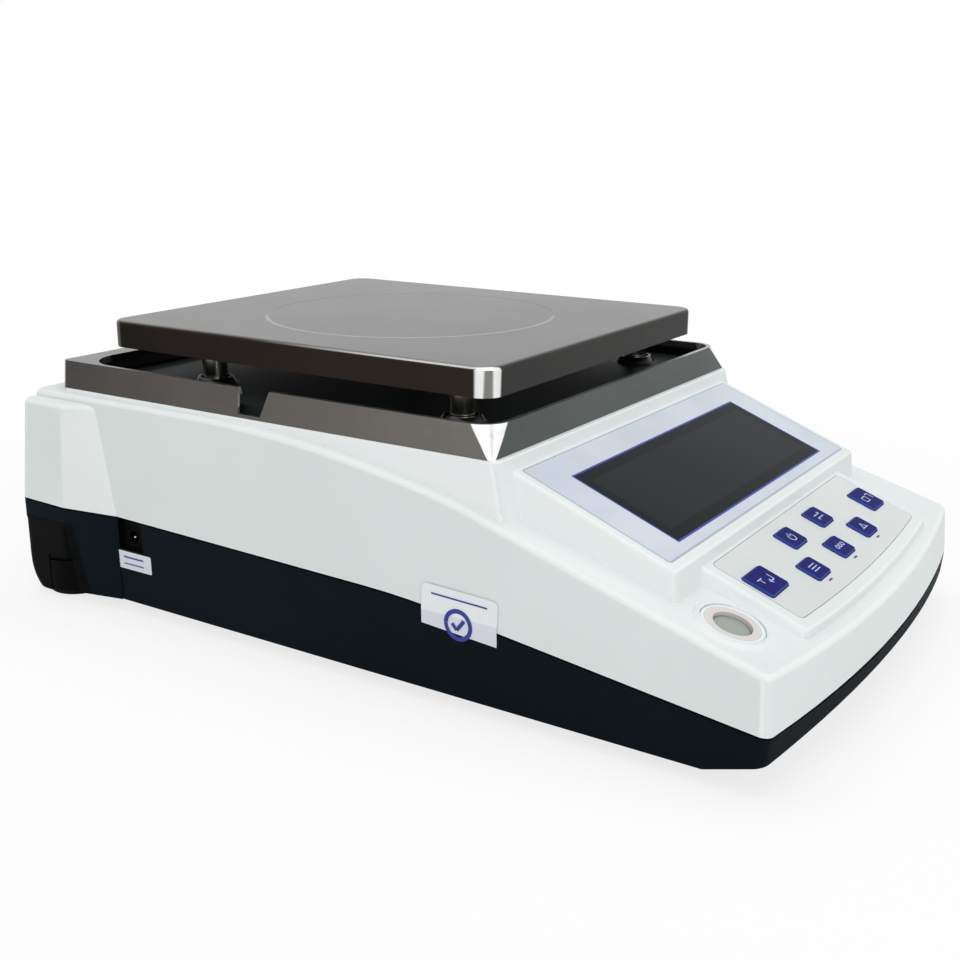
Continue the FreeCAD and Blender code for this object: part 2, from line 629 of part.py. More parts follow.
def plinth(wall):
    """Raised seat of the tray frame; its front leans forward as it goes down."""
    half = TRAY_WIDTH / 2.0 + PLINTH_MARGIN - wall
    front = TRAY_FRONT_Y - PLINTH_FRONT_MARGIN + wall
    rear = TRAY_REAR_Y + PLINTH_MARGIN - wall
    top_z = PLINTH_Z - wall
    depth = PLINTH_Z - deck_z(FRONT_Y)
    radius = max(PLINTH_CORNER_RADIUS - wall, 0.5)
    low = rounded_rect(-half, half, front - depth * PLINTH_FRONT_LEAN, rear, radius)
    high = rounded_rect(-half, half, front, rear, radius)
    block = loft(low, PLINTH_Z - depth, high, top_z)
    if wall == 0:
        rim = edges_where(block, lambda e, m: m.z > top_z - 0.01)
        block = fillet(block, rim, PLINTH_EDGE_RADIUS)
    return block


def wedge(wall):
    half = WEDGE_WIDTH / 2.0 - wall
    drop = wall * WEDGE_STRETCH
    behind = WEDGE_REAR_Y + WEDGE_REAR_BELOW_TRAY / WEDGE_SLOPE - 1.0
    foot_z = deck_z(WEDGE_FRONT_Y) - 2 * BODY_WALL - 4 * wall
    front = WEDGE_FRONT_Y + wall
    corners = [
        (behind, WEDGE_REAR_Z + (behind - WEDGE_REAR_Y) * WEDGE_SLOPE - drop, 0),
        (front, WEDGE_FRONT_Z + wall * WEDGE_SLOPE - drop, 0),
        (front - (WEDGE_FRONT_Z - foot_z) * WEDGE_FACE_LEAN, foot_z, 0),
        (behind, foot_z, 0),
    ]
    block = side_prism(corners, half)
    if wall == 0:
        sharp = edges_where(block, lambda e, m: m.y < behind - 1 and m.z > foot_z + 1)
        block = fillet(block, sharp, WEDGE_EDGE_RADIUS)
    return block


# Keypad plinth: an upright bowed block under a sloping top
KEYPAD_REAR_Y = WEDGE_FRONT_Y - (WEDGE_FRONT_Z - deck_z(WEDGE_FRONT_Y)) * WEDGE_FACE_LEAN
KEYPAD_REAR_Z = deck_z(KEYPAD_REAR_Y) + KEYPAD_REAR_Z_ABOVE_DECK
KEYPAD_FRONT_Y = KEYPAD_REAR_Y - KEYPAD_DEPTH
PANEL_FRONT_Y = KEYPAD_FRONT_Y + PANEL_FRONT_MARGIN
PANEL_FRONT_Z = KEYPAD_REAR_Z - (KEYPAD_REAR_Y - PANEL_FRONT_Y) * KEYPAD_SLOPE


def bowed_block(half, front, rear, bow, z0, z1, radius):
    """Upright block with a bowed front and rounded upright edges."""
    block = Part.Face(bowed_plan(half, front, rear, bow, z0)).extrude(Vector(0, 0, z1 - z0))
    return fillet(block, edges_where(block, lambda e, m: is_upright(e)), radius)


def keypad_plinth(wall):
    rear = WEDGE_FRONT_Y + BODY_WALL + wall
    front = KEYPAD_FRONT_Y + wall
    foot_z = deck_z(KEYPAD_FRONT_Y) - 2 * BODY_WALL - 4 * wall
    half = KEYPAD_WIDTH / 2.0 - wall
    block = Part.Face(bowed_plan(half, front, rear, KEYPAD_BOW, foot_z))
    block = block.extrude(Vector(0, 0, WEDGE_REAR_Z - foot_z))
    if wall == 0:
        corners = edges_where(block, lambda e, m: is_upright(e) and m.y < rear - 1)
        block = fillet(block, corners, KEYPAD_CORNER_RADIUS)
    block = block.cut(above_slope(KEYPAD_SLOPE, KEYPAD_REAR_Y, KEYPAD_REAR_Z - wall * KEYPAD_STRETCH))
    if wall == 0:
        def on_rim(edge, middle):
            return not is_upright(edge, 0.8) and middle.z > foot_z + 1 and middle.y < rear - 1

        block = fillet(block, edges_where(block, on_rim), KEYPAD_EDGE_RADIUS)
    return block


def on_keypad(shape):
    """Place a shape drawn with the panel's front corners on its X axis and its face at z 0."""
    return on_slope(shape, KEYPAD_SLOPE, PANEL_FRONT_Y, PANEL_FRONT_Z)


def on_wedge(shape):
    """Place a shape drawn with the wedge's rear edge on its X axis and its face at z 0."""
    return on_slope(shape, WEDGE_SLOPE, WEDGE_REAR_Y, WEDGE_REAR_Z)


def panel_block(grow, z0, z1):
    half = PANEL_WIDTH / 2.0 + grow
    corner = PANEL_CORNER_RADIUS + grow
    return bowed_block(half, -grow, PANEL_LENGTH + grow, PANEL_BOW, z0, z1, corner)


def key_block(key, grow, z0, z1):
    name, x, v, width, depth = key
    half = width / 2.0 + grow
    reach = depth / 2.0 + grow
    corners = rounded_rect(x - half, x + half, v - reach, v + reach, KEY_CORNER_RADIUS + grow)
    return plan_prism(corners, z0, z1)


def overlay_block(grow, z0, z1):
    half = OVERLAY_HALF + grow
    corners = rounded_rect(-half, half, OVERLAY_FRONT - grow, OVERLAY_REAR + grow, OVERLAY_CORNER_RADIUS)
    return plan_prism(corners, z0, z1)


def window_block(grow, z0, z1):
    half = WINDOW_WIDTH / 2.0 + grow
    return box(-half, half, WINDOW_FRONT - grow, -WINDOW_FROM_REAR + grow, z0, z1)


def on_deck(shape):
    """Place a shape drawn round the level's centre, with the deck at z 0."""
    placed = on_slope(shape, DECK_SLOPE, LEVEL_Y, deck_z(LEVEL_Y))
    placed.translate(Vector(LEVEL_X, 0, 0))
    return placed


def on_shoulder_rim(edge, middle):
    """True for the edges round the shoulder and deck, false across them and at the split."""
    high = middle.z > seam_z(middle.y) + 4 * SHOULDER_RADIUS
    front = middle.y < FRONT_Y and middle.z > seam_z(FRONT_Y) + 4 * SHOULDER_RADIUS
    ends = front or middle.y > REAR_Y - SWELL_REAR_STEP - 2 * BODY_WALL - 3
    across = edge.BoundBox.XLength > BODY_WIDTH / 2.0 and not ends
    return high and not across and not is_upright(edge)


def housing_hollow():
    """Space inside the upper housing."""
    hollow = body_walls(BODY_WALL, 0).common(shoulder_profile(BODY_WALL))
    raised = [plinth(BODY_WALL), wedge(BODY_WALL), keypad_plinth(BODY_WALL)]
    return fuse([hollow] + raised + [swell(-1, BODY_WALL), swell(1, BODY_WALL)])


def housing_bosses(body):
    """Bosses for the closing screws, the display board and the keypad board, and the level's seat."""
    posts = []
    for x, y in HOUSING_SCREWS:
        posts.append(cylinder(x, y, seam_z(y) + JOIN_Z, SHOULDER_Z, BOSS_RADIUS))
    seat_radius = LEVEL_RING_RADIUS + LEVEL_CLEARANCE + LEVEL_SEAT_WALL
    bosses = [fuse(posts).common(body), on_deck(cylinder(0, 0, LEVEL_SEAT - LEVEL_DEPTH, -0.5, seat_radius))]
    for side in (-1, 1):
        for v in (WINDOW_FRONT + BOSS_INSET, -WINDOW_FROM_REAR - BOSS_INSET):
            x = side * DISPLAY_SCREWS_X
            bosses.append(on_wedge(cylinder(x, v, DISPLAY_BOARD_TOP, -BODY_WALL / 2.0, DISPLAY_BOSS_RADIUS)))
        x = side * (PANEL_WIDTH / 2.0 - KEY_BOSS_RADIUS)
        for v in (BOSS_INSET, PANEL_LENGTH - BOSS_INSET):
            top = -BODY_WALL / 2.0 - PANEL_THICKNESS
            bosses.append(on_keypad(cylinder(x, v, KEYPAD_BOARD_TOP, top, KEY_BOSS_RADIUS)))
    return bosses


def upper_housing():
    outer = wall_half(0, True, CORNER_RADIUS).common(shoulder_profile(0))
    outer = fillet(outer, edges_where(outer, on_shoulder_rim), SHOULDER_RADIUS)
    foot_radius = LEVEL_RING_RADIUS + LEVEL_COLLAR_WIDTH + 1.0
    top_radius = LEVEL_RING_RADIUS + LEVEL_COLLAR_WIDTH / 2.0
    collar = cone(0, 0, -1.0, LEVEL_COLLAR_HEIGHT, foot_radius, top_radius)
    raised = [plinth(0), wedge(0), keypad_plinth(0), on_deck(collar)]
    body = fuse([outer] + raised + [swell(-1, 0), swell(1, 0)]).common(seam_side(0, True))
    shell = fuse([body.cut(housing_hollow())] + housing_bosses(body))

    cuts = [on_keypad(panel_block(PANEL_CLEARANCE, -PANEL_THICKNESS, FAR))]
    for key in KEYS:
        cuts.append(on_keypad(key_block(key, KEY_CLEARANCE, -2 * BODY_WALL, 1.0)))
    cuts.append(on_wedge(overlay_block(OVERLAY_CLEARANCE, -OVERLAY_THICKNESS, FAR)))
    cuts.append(on_wedge(window_block(WINDOW_CUT_MARGIN, -2 * BODY_WALL, 1.0)))
    cuts.append(on_deck(cylinder(0, 0, -LEVEL_DEPTH, FAR, LEVEL_RING_RADIUS + LEVEL_CLEARANCE)))
    for x, y in POST_PLACES:
        cuts.append(cylinder(x, y, PLINTH_Z - 2 * BODY_WALL, FAR, POST_RADIUS + HOUSING_HOLE_CLEARANCE))
    for x, y in HOUSING_SCREWS:
        cuts.append(cylinder(x, y, 0, seam_z(y) + JOIN_Z + SCREW_BITE, SCREW_RADIUS + SCREW_CLEARANCE))
    return shell.cut(Part.makeCompound(cuts))


def knob_column(side):
    """Tapered column of the base that holds a levelling foot's thread."""
    top = seam_z(FOOT_Y) - RIM_HEIGHT
    foot = KNOB_LIFT + KNOB_HEIGHT + KNOB_GAP
    return cone(side * FOOT_X, FOOT_Y, foot, top + 1.0, KNOB_RADIUS, KNOB_RADIUS + COLUMN_TAPER)


def outward_box(side, x, y, z):
    """Everything past x to one side, behind y and above z."""
    return box(min(side * x, side * FAR), max(side * x, side * FAR), y, FAR, z, FAR)


def foot_notch(side, block, shell):
    """Notch under a rear corner: its rim, its inner walls and the column of the foot."""
    x = FOOT_X - KNOB_RADIUS - FOOT_POCKET_CLEARANCE
    y = FOOT_Y - KNOB_RADIUS - FOOT_POCKET_CLEARANCE
    rim_z = seam_z(FOOT_Y) - RIM_HEIGHT
    lean = side_prism([
        (y, -1.0, 0),
        (y + NOTCH_LEAN, rim_z, 0),
        (FAR, rim_z, 0),
        (FAR, -1.0, 0),
    ], FAR)
    inside = block.common(outward_box(side, x - BODY_WALL, y - BODY_WALL, UNDERSIDE_Z))
    solid = fuse([shell, inside]).cut(lean.common(outward_box(side, x, -FAR, -FAR)))
    solid = fuse([solid, knob_column(side)])
    hole = cylinder(side * FOOT_X, FOOT_Y, 0, seam_z(FOOT_Y) - SEAM_GAP - 4.0, STUD_RADIUS + STUD_CLEARANCE)
    return solid.cut(hole)


def base_bosses():
    """Bosses, ribs and the frame of the inlet's recess."""
    foot_z = INNER_FLOOR_Z - 0.5
    shapes = []
    for x, y in HOUSING_SCREWS:
        shapes.append(cylinder(x, y, foot_z, seam_z(y) + JOIN_Z - 0.1, BOSS_RADIUS))
    for x, y in CHASSIS_SCREWS:
        shapes.append(cylinder(x, y, foot_z, CHASSIS_TOP_Z - CHASSIS_THICKNESS, BOSS_RADIUS))
    for x, y in BOARD_SCREWS:
        shapes.append(cylinder(x, y, foot_z, MAIN_BOARD_Z, BOSS_RADIUS))
    rib_top = INNER_FLOOR_Z + RIB_HEIGHT
    reach = CHASSIS_LENGTH / 2.0 + 2 * BOSS_RADIUS
    for x in (-RIB_SPREAD, 0.0, RIB_SPREAD):
        shapes.append(box(x - RIB / 2, x + RIB / 2, PAN_Y - reach, PAN_Y + reach, foot_z, rib_top))
    half = (BODY_WIDTH - BODY_WALL) / 2.0
    for y in (PAN_Y - reach, PAN_Y, PAN_Y + reach):
        shapes.append(box(-half, half, y - RIB / 2, y + RIB / 2, foot_z, rib_top))
    half = INLET_WIDTH / 2.0 + INLET_FRAME
    low_z = INLET_Z - INLET_BELOW - INLET_FRAME
    top_z = seam_z(INLET_Y) - SEAM_GAP - 0.5
    outside_x = (BODY_WALL - BODY_WIDTH) / 2.0
    inside_x = INLET_FACE_X + INLET_WALL
    shapes.append(box(outside_x, inside_x, INLET_Y - half, INLET_Y + half, low_z, top_z))
    return shapes


def base_cuts():
    """Screw holes, seats of the front feet and the inlet's recess."""
    cuts = []
    for x, y in HOUSING_SCREWS:
        cuts.append(cylinder(x, y, 0, FAR, SCREW_RADIUS + SCREW_CLEARANCE))
        cuts.append(cylinder(x, y, 0, INNER_FLOOR_Z + 1.0, SCREW_HEAD_RADIUS + SCREW_HEAD_CLEARANCE))
    for x, y in CHASSIS_SCREWS + BOARD_SCREWS:
        cuts.append(cylinder(x, y, INNER_FLOOR_Z + 1.0, FAR, SCREW_RADIUS + SCREW_CLEARANCE))
    for side in (-1, 1):
        seat_z = UNDERSIDE_Z + FRONT_FOOT_SEAT
        radius = FRONT_FOOT_RADIUS + FRONT_FOOT_CLEARANCE
        cuts.append(cylinder(side * FRONT_FOOT_X, FRONT_FOOT_Y, 0, seat_z, radius))
    half = INLET_WIDTH / 2.0
    recess = box(-FAR, INLET_FACE_X, INLET_Y - half, INLET_Y + half, INLET_Z - INLET_BELOW, seam_z(INLET_Y))
    along = Vector(1, 0, 0)
    centre = Vector(INLET_FACE_X, INLET_Y, INLET_Z)
    nose = Part.makeCylinder(JACK_NOSE_RADIUS + 0.1, INLET_WALL + JACK_LENGTH, centre, along)
    return Part.makeCompound(cuts + [recess, nose])


def base_lip():
    """Tongue that stands up inside the housing, and the ledge that carries it."""
    ring_out = body_walls(BODY_WALL + LIP_CLEARANCE, 0)
    ring_in = body_walls(BODY_WALL + LIP_CLEARANCE + LIP_WALL, 0)
    band = body_walls(BODY_WALL / 2.0, 0)
    deep = seam_side(SEAM_GAP + 2 * LIP_WALL, False)
    lip = ring_out.cut(ring_in).common(seam_side(-LIP_HEIGHT, False)).cut(deep)
    ledge = band.cut(ring_in).common(seam_side(SEAM_GAP, False)).cut(deep)
    return [lip, ledge]


def lower_base():
    chamfer_y = FRONT_Y + CHAMFER_LENGTH
    far_y = FRONT_Y - 2 * FRONT_BOW
    rise = CHAMFER_RISE / CHAMFER_LENGTH
    keep = side_prism([
        (FAR, UNDERSIDE_Z, 0),
        (chamfer_y, UNDERSIDE_Z, 0),
        (far_y, UNDERSIDE_Z + (chamfer_y - far_y) * rise, 0),
        (far_y, FAR, 0),
        (FAR, FAR, 0),
    ], FAR)
    keep_inner = keep.copy()
    keep_inner.translate(Vector(0, 0, BODY_WALL * math.sqrt(1 + rise ** 2)))
    outer = fuse([body_walls(0, CORNER_RADIUS), swell(-1, 0), swell(1, 0)])
    block = outer.common(seam_side(SEAM_GAP, False)).common(keep)
    shell = block.cut(body_walls(BODY_WALL, 0).common(keep_inner))
    shell = fuse([shell] + base_lip())
    for side in (-1, 1):
        shell = foot_notch(side, block, shell)
    return fuse([shell] + base_bosses()).cut(base_cuts())


def tray_frame():
    """Sheet-metal ring: leaning walls, cone-shaped front corners, flat rim and downturned lip."""
    half = TRAY_WIDTH / 2.0

    def ring(inset, z0, z1):
        lean = TRAY_SIDE_LEAN
        foot_r = max(TRAY_FOOT_RADIUS - inset, 0.4)
        rim_r = max(TRAY_CONE_RADIUS - inset, 0.4)
        x0 = half - inset
        x1 = half - lean - inset
        low = [
            (-x0, TRAY_FRONT_Y + inset, foot_r),
            (x0, TRAY_FRONT_Y + inset, foot_r),
            (x0, TRAY_REAR_Y - inset, foot_r),
            (-x0, TRAY_REAR_Y - inset, foot_r),
        ]
        rear = TRAY_REAR_Y + TRAY_REAR_FLARE - inset
        high = [
            (-x1, TRAY_FRONT_Y + TRAY_FRONT_LEAN + inset, rim_r),
            (x1, TRAY_FRONT_Y + TRAY_FRONT_LEAN + inset, rim_r),
            (x1, rear, foot_r),
            (-x1, rear, foot_r),
        ]
        return loft(low, z0, high, z1)

    def opening(grow, z0, z1):
        x = half - TRAY_SIDE_LEAN - TRAY_RIM + grow
        front = TRAY_FRONT_Y + TRAY_FRONT_LEAN + TRAY_RIM - grow
        rear = TRAY_REAR_Y + TRAY_REAR_FLARE - TRAY_REAR_RIM + grow
        front_r = TRAY_CONE_RADIUS - TRAY_RIM + grow
        rear_r = TRAY_OPENING_REAR_RADIUS + grow
        corners = [(-x, front, front_r), (x, front, front_r), (x, rear, rear_r), (-x, rear, rear_r)]
        return plan_prism(corners, z0, z1)

    walls = ring(0, PLINTH_Z, TRAY_RIM_Z).cut(ring(TRAY_SHEET, PLINTH_Z, TRAY_RIM_Z))
    top_z = TRAY_RIM_Z - TRAY_SHEET
    cap = ring(0, PLINTH_Z, TRAY_RIM_Z).common(box(-FAR, FAR, -FAR, FAR, top_z, FAR))
    lip = opening(TRAY_SHEET, TRAY_RIM_Z - TRAY_LIP, TRAY_RIM_Z).common(ring(0, PLINTH_Z, TRAY_RIM_Z))
    frame = fuse([walls, cap, lip]).cut(opening(0, PLINTH_Z - 1, TRAY_RIM_Z + 1))
    middle = PAN_Y + NOTCH_FROM_PAN
    foot_z = PLINTH_Z + NOTCH_LEFT
    notch = side_prism([
        (middle - NOTCH_TOP / 2, TRAY_RIM_Z + 1.0, 0),
        (middle - NOTCH_FOOT / 2, foot_z, 0),
        (middle + NOTCH_FOOT / 2, foot_z, 0),
        (middle + NOTCH_TOP / 2, TRAY_RIM_Z + 1.0, 0),
    ], FAR)
    return frame.cut(notch)


def tray_floor():
    """Moulded floor inside the frame, with a collar round each post and a lower rear strip."""
    half = TRAY_WIDTH / 2.0 - TRAY_SIDE_LEAN - TRAY_SHEET - FLOOR_CLEARANCE
    front = TRAY_FRONT_Y + TRAY_FRONT_LEAN + TRAY_SHEET + FLOOR_CLEARANCE
    rear = TRAY_REAR_Y - TRAY_SHEET - FLOOR_CLEARANCE
    step_y = PAN_Y + FLOOR_STEP_FROM_PAN
    corner = TRAY_CONE_RADIUS - TRAY_SHEET
    small = TRAY_FOOT_RADIUS - TRAY_SHEET
    corners = [(-half, front, corner), (half, front, corner), (half, rear, small), (-half, rear, small)]
    block = plan_prism(corners, PLINTH_Z, FLOOR_Z)
    block = block.cut(box(-FAR, FAR, step_y, FAR, FLOOR_Z - FLOOR_STEP_DOWN, FAR))
    under = box(-half + FLOOR_PLATE, half - FLOOR_PLATE, front + FLOOR_PLATE, step_y - FLOOR_PLATE,
                PLINTH_Z - 1.0, FLOOR_Z - FLOOR_PLATE)
    shapes = [block.cut(under)]
    low_z = FLOOR_Z - FLOOR_PLATE / 2
    top_z = FLOOR_Z + COLLAR_HEIGHT
    skirt_radius = POST_RADIUS + HOUSING_HOLE_CLEARANCE + COLLAR_FOOT_WALL
    for x, y in POST_PLACES:
        shapes.append(cone(x, y, low_z, top_z, COLLAR_FOOT_RADIUS, COLLAR_TOP_RADIUS))
        shapes.append(cylinder(x, y, PLINTH_Z, FLOOR_Z, skirt_radius))
    plate = fuse(shapes)
    holes = [cylinder(x, y, 0, FAR, POST_RADIUS + POST_HOLE_CLEARANCE) for x, y in POST_PLACES]
    return plate.cut(Part.makeCompound(holes))


def pan():
    """Pressed sheet pan with a turned-down skirt and rounded edges."""
    def block(inset, z0, z1):
        half = PAN_WIDTH / 2.0 - inset
        reach = PAN_LENGTH / 2.0 - inset
        corners = rounded_rect(-half, half, PAN_Y - reach, PAN_Y + reach, PAN_CORNER_RADIUS - inset)
        return plan_prism(corners, z0, z1)

    foot_z = PAN_TOP_Z - PAN_SKIRT
    outer = block(0, foot_z, PAN_TOP_Z)
    outer = fillet(outer, edges_where(outer, lambda e, m: m.z > PAN_TOP_Z - 0.01), PAN_EDGE_RADIUS)
    inner = block(PAN_SHEET, foot_z - 1.0, PAN_TOP_Z - PAN_SHEET)
    return outer.cut(inner)


def pan_post(x, y):
    """Turned post: flange welded under the pan, straight body, coned tip that sits in a bush."""
    top = PAN_TOP_Z - PAN_SHEET
    tip = POST_RADIUS - POST_TIP_RADIUS
    body = cylinder(x, y, BUSH_FLOOR_Z + tip, top, POST_RADIUS)
    point = cone(x, y, BUSH_FLOOR_Z, BUSH_FLOOR_Z + tip, POST_TIP_RADIUS, POST_RADIUS)
    flange = cylinder(x, y, top - POST_FLANGE, top, POST_FLANGE_RADIUS)
    return fuse([body, point, flange])


def post_bush(x, y):
    """Rubber bush in a carrier cup; the pan's post rests on its floor."""
    bore = POST_RADIUS + BUSH_CLEARANCE
    foot = BUSH_FLOOR_Z - BUSH_FLOOR
    bush = cylinder(x, y, foot, CUP_TOP_Z + BUSH_RIM, bore + BUSH_WALL)
    return bush.cut(cylinder(x, y, BUSH_FLOOR_Z - 0.1, FAR, bore))


def bar(x0, y0, x1, y1, width, z0, z1):
    """Flat bar between two plan points."""
    run = Vector(x1 - x0, y1 - y0, 0)
    piece = Part.makeBox(run.Length, width, z1 - z0, Vector(0, -width / 2.0, z0))
    piece.rotate(Vector(0, 0, 0), Vector(0, 0, 1), math.degrees(math.atan2(run.y, run.x)))
    piece.translate(Vector(x0, y0, 0))
    return piece


def pan_carrier():
    """Cast cross with a cup under each post and a hub over the load cell's free end."""
    half = HUB_WIDTH / 2.0
    shapes = [box(-half, half, CELL_FRONT_Y, CELL_FRONT_Y + HUB_LENGTH, ARM_FOOT_Z, HUB_TOP_Z)]
    for x, y in POST_PLACES:
        shapes.append(bar(0, CARRIER_Y, x, y, ARM_WIDTH, ARM_FOOT_Z, HUB_TOP_Z))
        shapes.append(bar(0, CARRIER_Y, x, y, ARM_RIB, ARM_FOOT_Z, CUP_TOP_Z))
        shapes.append(cylinder(x, y, ARM_FOOT_Z, CUP_TOP_Z, CUP_RADIUS))
    cross = fuse(shapes)
    cuts = []
    for x, y in POST_PLACES:
        cuts.append(cylinder(x, y, ARM_FOOT_Z + CUP_FLOOR, FAR, POST_RADIUS + BUSH_CLEARANCE + BUSH_WALL))
    for x, y in CARRIER_BOLTS:
        cuts.append(cylinder(x, y, 0, FAR, BOLT_RADIUS + BOLT_CLEARANCE))
    return cross.cut(Part.makeCompound(cuts))


def cell_spacer(front_y, bolts, z0):
    """Flat block between the load cell and the piece bolted to it."""
    half = CELL_WIDTH / 2.0
    block = box(-half, half, front_y, front_y + CELL_BLOCK, z0, z0 + CELL_SPACER)
    holes = [cylinder(x, y, 0, FAR, BOLT_RADIUS + BOLT_CLEARANCE) for x, y in bolts]
    return block.cut(Part.makeCompound(holes))


def load_cell():
    """Single-point bending beam: two bores joined by a slot leave four thin flexures."""
    half = CELL_WIDTH / 2.0
    beam = box(-half, half, CELL_FRONT_Y, CELL_REAR_Y, CELL_FOOT_Z, CELL_TOP_Z)
    middle_z = (CELL_FOOT_Z + CELL_TOP_Z) / 2.0
    radius = CELL_HEIGHT / 2.0 - CELL_WEB
    reach = CELL_BORE_SPREAD / 2.0
    slot = CELL_SLOT / 2.0
    cuts = [box(-CELL_WIDTH, CELL_WIDTH, PAN_Y - reach, PAN_Y + reach, middle_z - slot, middle_z + slot)]
    for side in (-1, 1):
        end = Vector(-CELL_WIDTH, PAN_Y + side * reach, middle_z)
        cuts.append(Part.makeCylinder(radius, 2 * CELL_WIDTH, end, Vector(1, 0, 0)))
    depth = CELL_THREAD + 1.0
    for x, y in CARRIER_BOLTS:
        cuts.append(cylinder(x, y, CELL_TOP_Z - depth, CELL_TOP_Z, BOLT_RADIUS + BOLT_CLEARANCE))
    for x, y in CELL_BOLTS:
        cuts.append(cylinder(x, y, CELL_FOOT_Z, CELL_FOOT_Z + depth, BOLT_RADIUS + BOLT_CLEARANCE))
    return beam.cut(fuse(cuts))


def screw(x, y, seat_z, head_up, length, radius, head_radius, head):
    """Screw with a hexagon head on seat_z."""
    head_z = seat_z if head_up else seat_z - head
    foot_z = seat_z - length if head_up else seat_z
    turns = [math.radians(60 * i) for i in range(6)]
    corners = [(x + head_radius * math.cos(turn), y + head_radius * math.sin(turn), 0) for turn in turns]
    return fuse([plan_prism(corners, head_z, head_z + head), cylinder(x, y, foot_z, foot_z + length, radius)])


def chassis_plate():
    half = CHASSIS_WIDTH / 2.0
    reach = CHASSIS_LENGTH / 2.0
    corners = rounded_rect(-half, half, PAN_Y - reach, PAN_Y + reach, CHASSIS_CORNER_RADIUS)
    plate = plan_prism(corners, CHASSIS_TOP_Z - CHASSIS_THICKNESS, CHASSIS_TOP_Z)
    cuts = [cylinder(x, y, 0, FAR, SCREW_RADIUS + SCREW_CLEARANCE) for x, y in CHASSIS_SCREWS]
    cuts += [cylinder(x, y, 0, FAR, BOLT_RADIUS + BOLT_CLEARANCE) for x, y in CELL_BOLTS]
    window_reach = reach - CHASSIS_WINDOW_END
    for side in (-1, 1):
        near = side * (half - CHASSIS_WINDOW_SIDE)
        far = near - side * CHASSIS_WINDOW_WIDTH
        cuts.append(box(min(near, far), max(near, far), PAN_Y - window_reach, PAN_Y + window_reach, 0, FAR))
    return plate.cut(Part.makeCompound(cuts))


def overload_stop():
    """Adjustable stop screw under the free end of the load cell, with its lock nut."""
    y = CELL_FRONT_Y + CELL_BLOCK / 2.0
    stem = cylinder(0, y, CHASSIS_TOP_Z, CELL_FOOT_Z - STOP_GAP, STOP_RADIUS)
    nut = cylinder(0, y, CHASSIS_TOP_Z, CHASSIS_TOP_Z + STOP_NUT, STOP_RADIUS + STOP_NUT)
    return fuse([stem, nut])


def keypad_panel():
    plate = panel_block(0, -PANEL_THICKNESS, 0)
    return on_keypad(plate.cut(Part.makeCompound([key_block(key, KEY_CLEARANCE, -5.0, 5.0) for key in KEYS])))


def key_cap(key):
    """Key with a bevelled face above the panel and a flange under the housing wall."""
    cap = key_block(key, 0, KEY_FLANGE_TOP - KEY_FLANGE_THICKNESS, KEY_PROUD)
    cap = cap.makeChamfer(KEY_BEVEL, edges_where(cap, lambda e, m: m.z > KEY_PROUD - 0.01))
    flange = key_block(key, KEY_FLANGE, KEY_FLANGE_TOP - KEY_FLANGE_THICKNESS, KEY_FLANGE_TOP)
    return on_keypad(fuse([cap, flange]))


def keypad_board():
    """Board under the keys, screwed to bosses of the housing."""
    half = PANEL_WIDTH / 2.0 - 0.5
    foot = KEYPAD_BOARD_TOP - BOARD_THICKNESS
    return on_keypad(box(-half, half, 1.0, PANEL_LENGTH - 1.0, foot, KEYPAD_BOARD_TOP))


def key_domes():
    """Snap domes on the board, one under each key."""
    foot = KEYPAD_BOARD_TOP
    domes = [cone(x, v, foot, foot + DOME_HEIGHT, DOME_RADIUS, DOME_TOP_RADIUS) for _, x, v, _, _ in KEYS]
    return on_keypad(Part.makeCompound(domes))


def display_overlay():
    frame = overlay_block(0, -OVERLAY_THICKNESS, 0).cut(window_block(0, -5.0, 5.0))
    return on_wedge(frame)


def display_lens():
    return on_wedge(window_block(0, -OVERLAY_THICKNESS, 0))


def lcd_module():
    """Glass panel in its bezel, under the window."""
    return on_wedge(window_block(LCD_BORDER, -BODY_WALL - LCD_THICKNESS, -BODY_WALL))


def display_board():
    """Board under the LCD, with the two pin rows that carry it."""
    half = DISPLAY_SCREWS_X + DISPLAY_BOSS_RADIUS
    front = WINDOW_FRONT - LCD_BORDER / 2.0
    rear = -WINDOW_FROM_REAR + LCD_BORDER / 2.0
    shapes = [box(-half, half, front, rear, DISPLAY_BOARD_TOP - BOARD_THICKNESS, DISPLAY_BOARD_TOP)]
    reach = WINDOW_WIDTH / 3.0
    for v in (WINDOW_FRONT, -WINDOW_FROM_REAR - PIN_ROW):
        shapes.append(box(-reach, reach, v, v + PIN_ROW, DISPLAY_BOARD_TOP, -BODY_WALL - LCD_THICKNESS))
    return on_wedge(fuse(shapes))


def level_holder():
    """Ring and cup of the bubble level, pushed into the deck."""
    cup = cylinder(0, 0, -LEVEL_DEPTH, LEVEL_COLLAR_HEIGHT - LEVEL_EDGE, LEVEL_RING_RADIUS)
    cup = cup.makeChamfer(LEVEL_EDGE, edges_where(cup, lambda e, m: m.z > 0 and len(e.Vertexes) == 1))
    return on_deck(cup.cut(cylinder(0, 0, LEVEL_FLOOR - LEVEL_DEPTH, FAR, LEVEL_GLASS_RADIUS)))


def level_vial():
    """Vial of the bubble level with a crowned top."""
    body = cylinder(0, 0, LEVEL_FLOOR - LEVEL_DEPTH, 0, LEVEL_GLASS_RADIUS)
    crown = cone(0, 0, 0, VIAL_CROWN, LEVEL_GLASS_RADIUS, LEVEL_GLASS_RADIUS / 2.0)
    return on_deck(fuse([body, crown]))


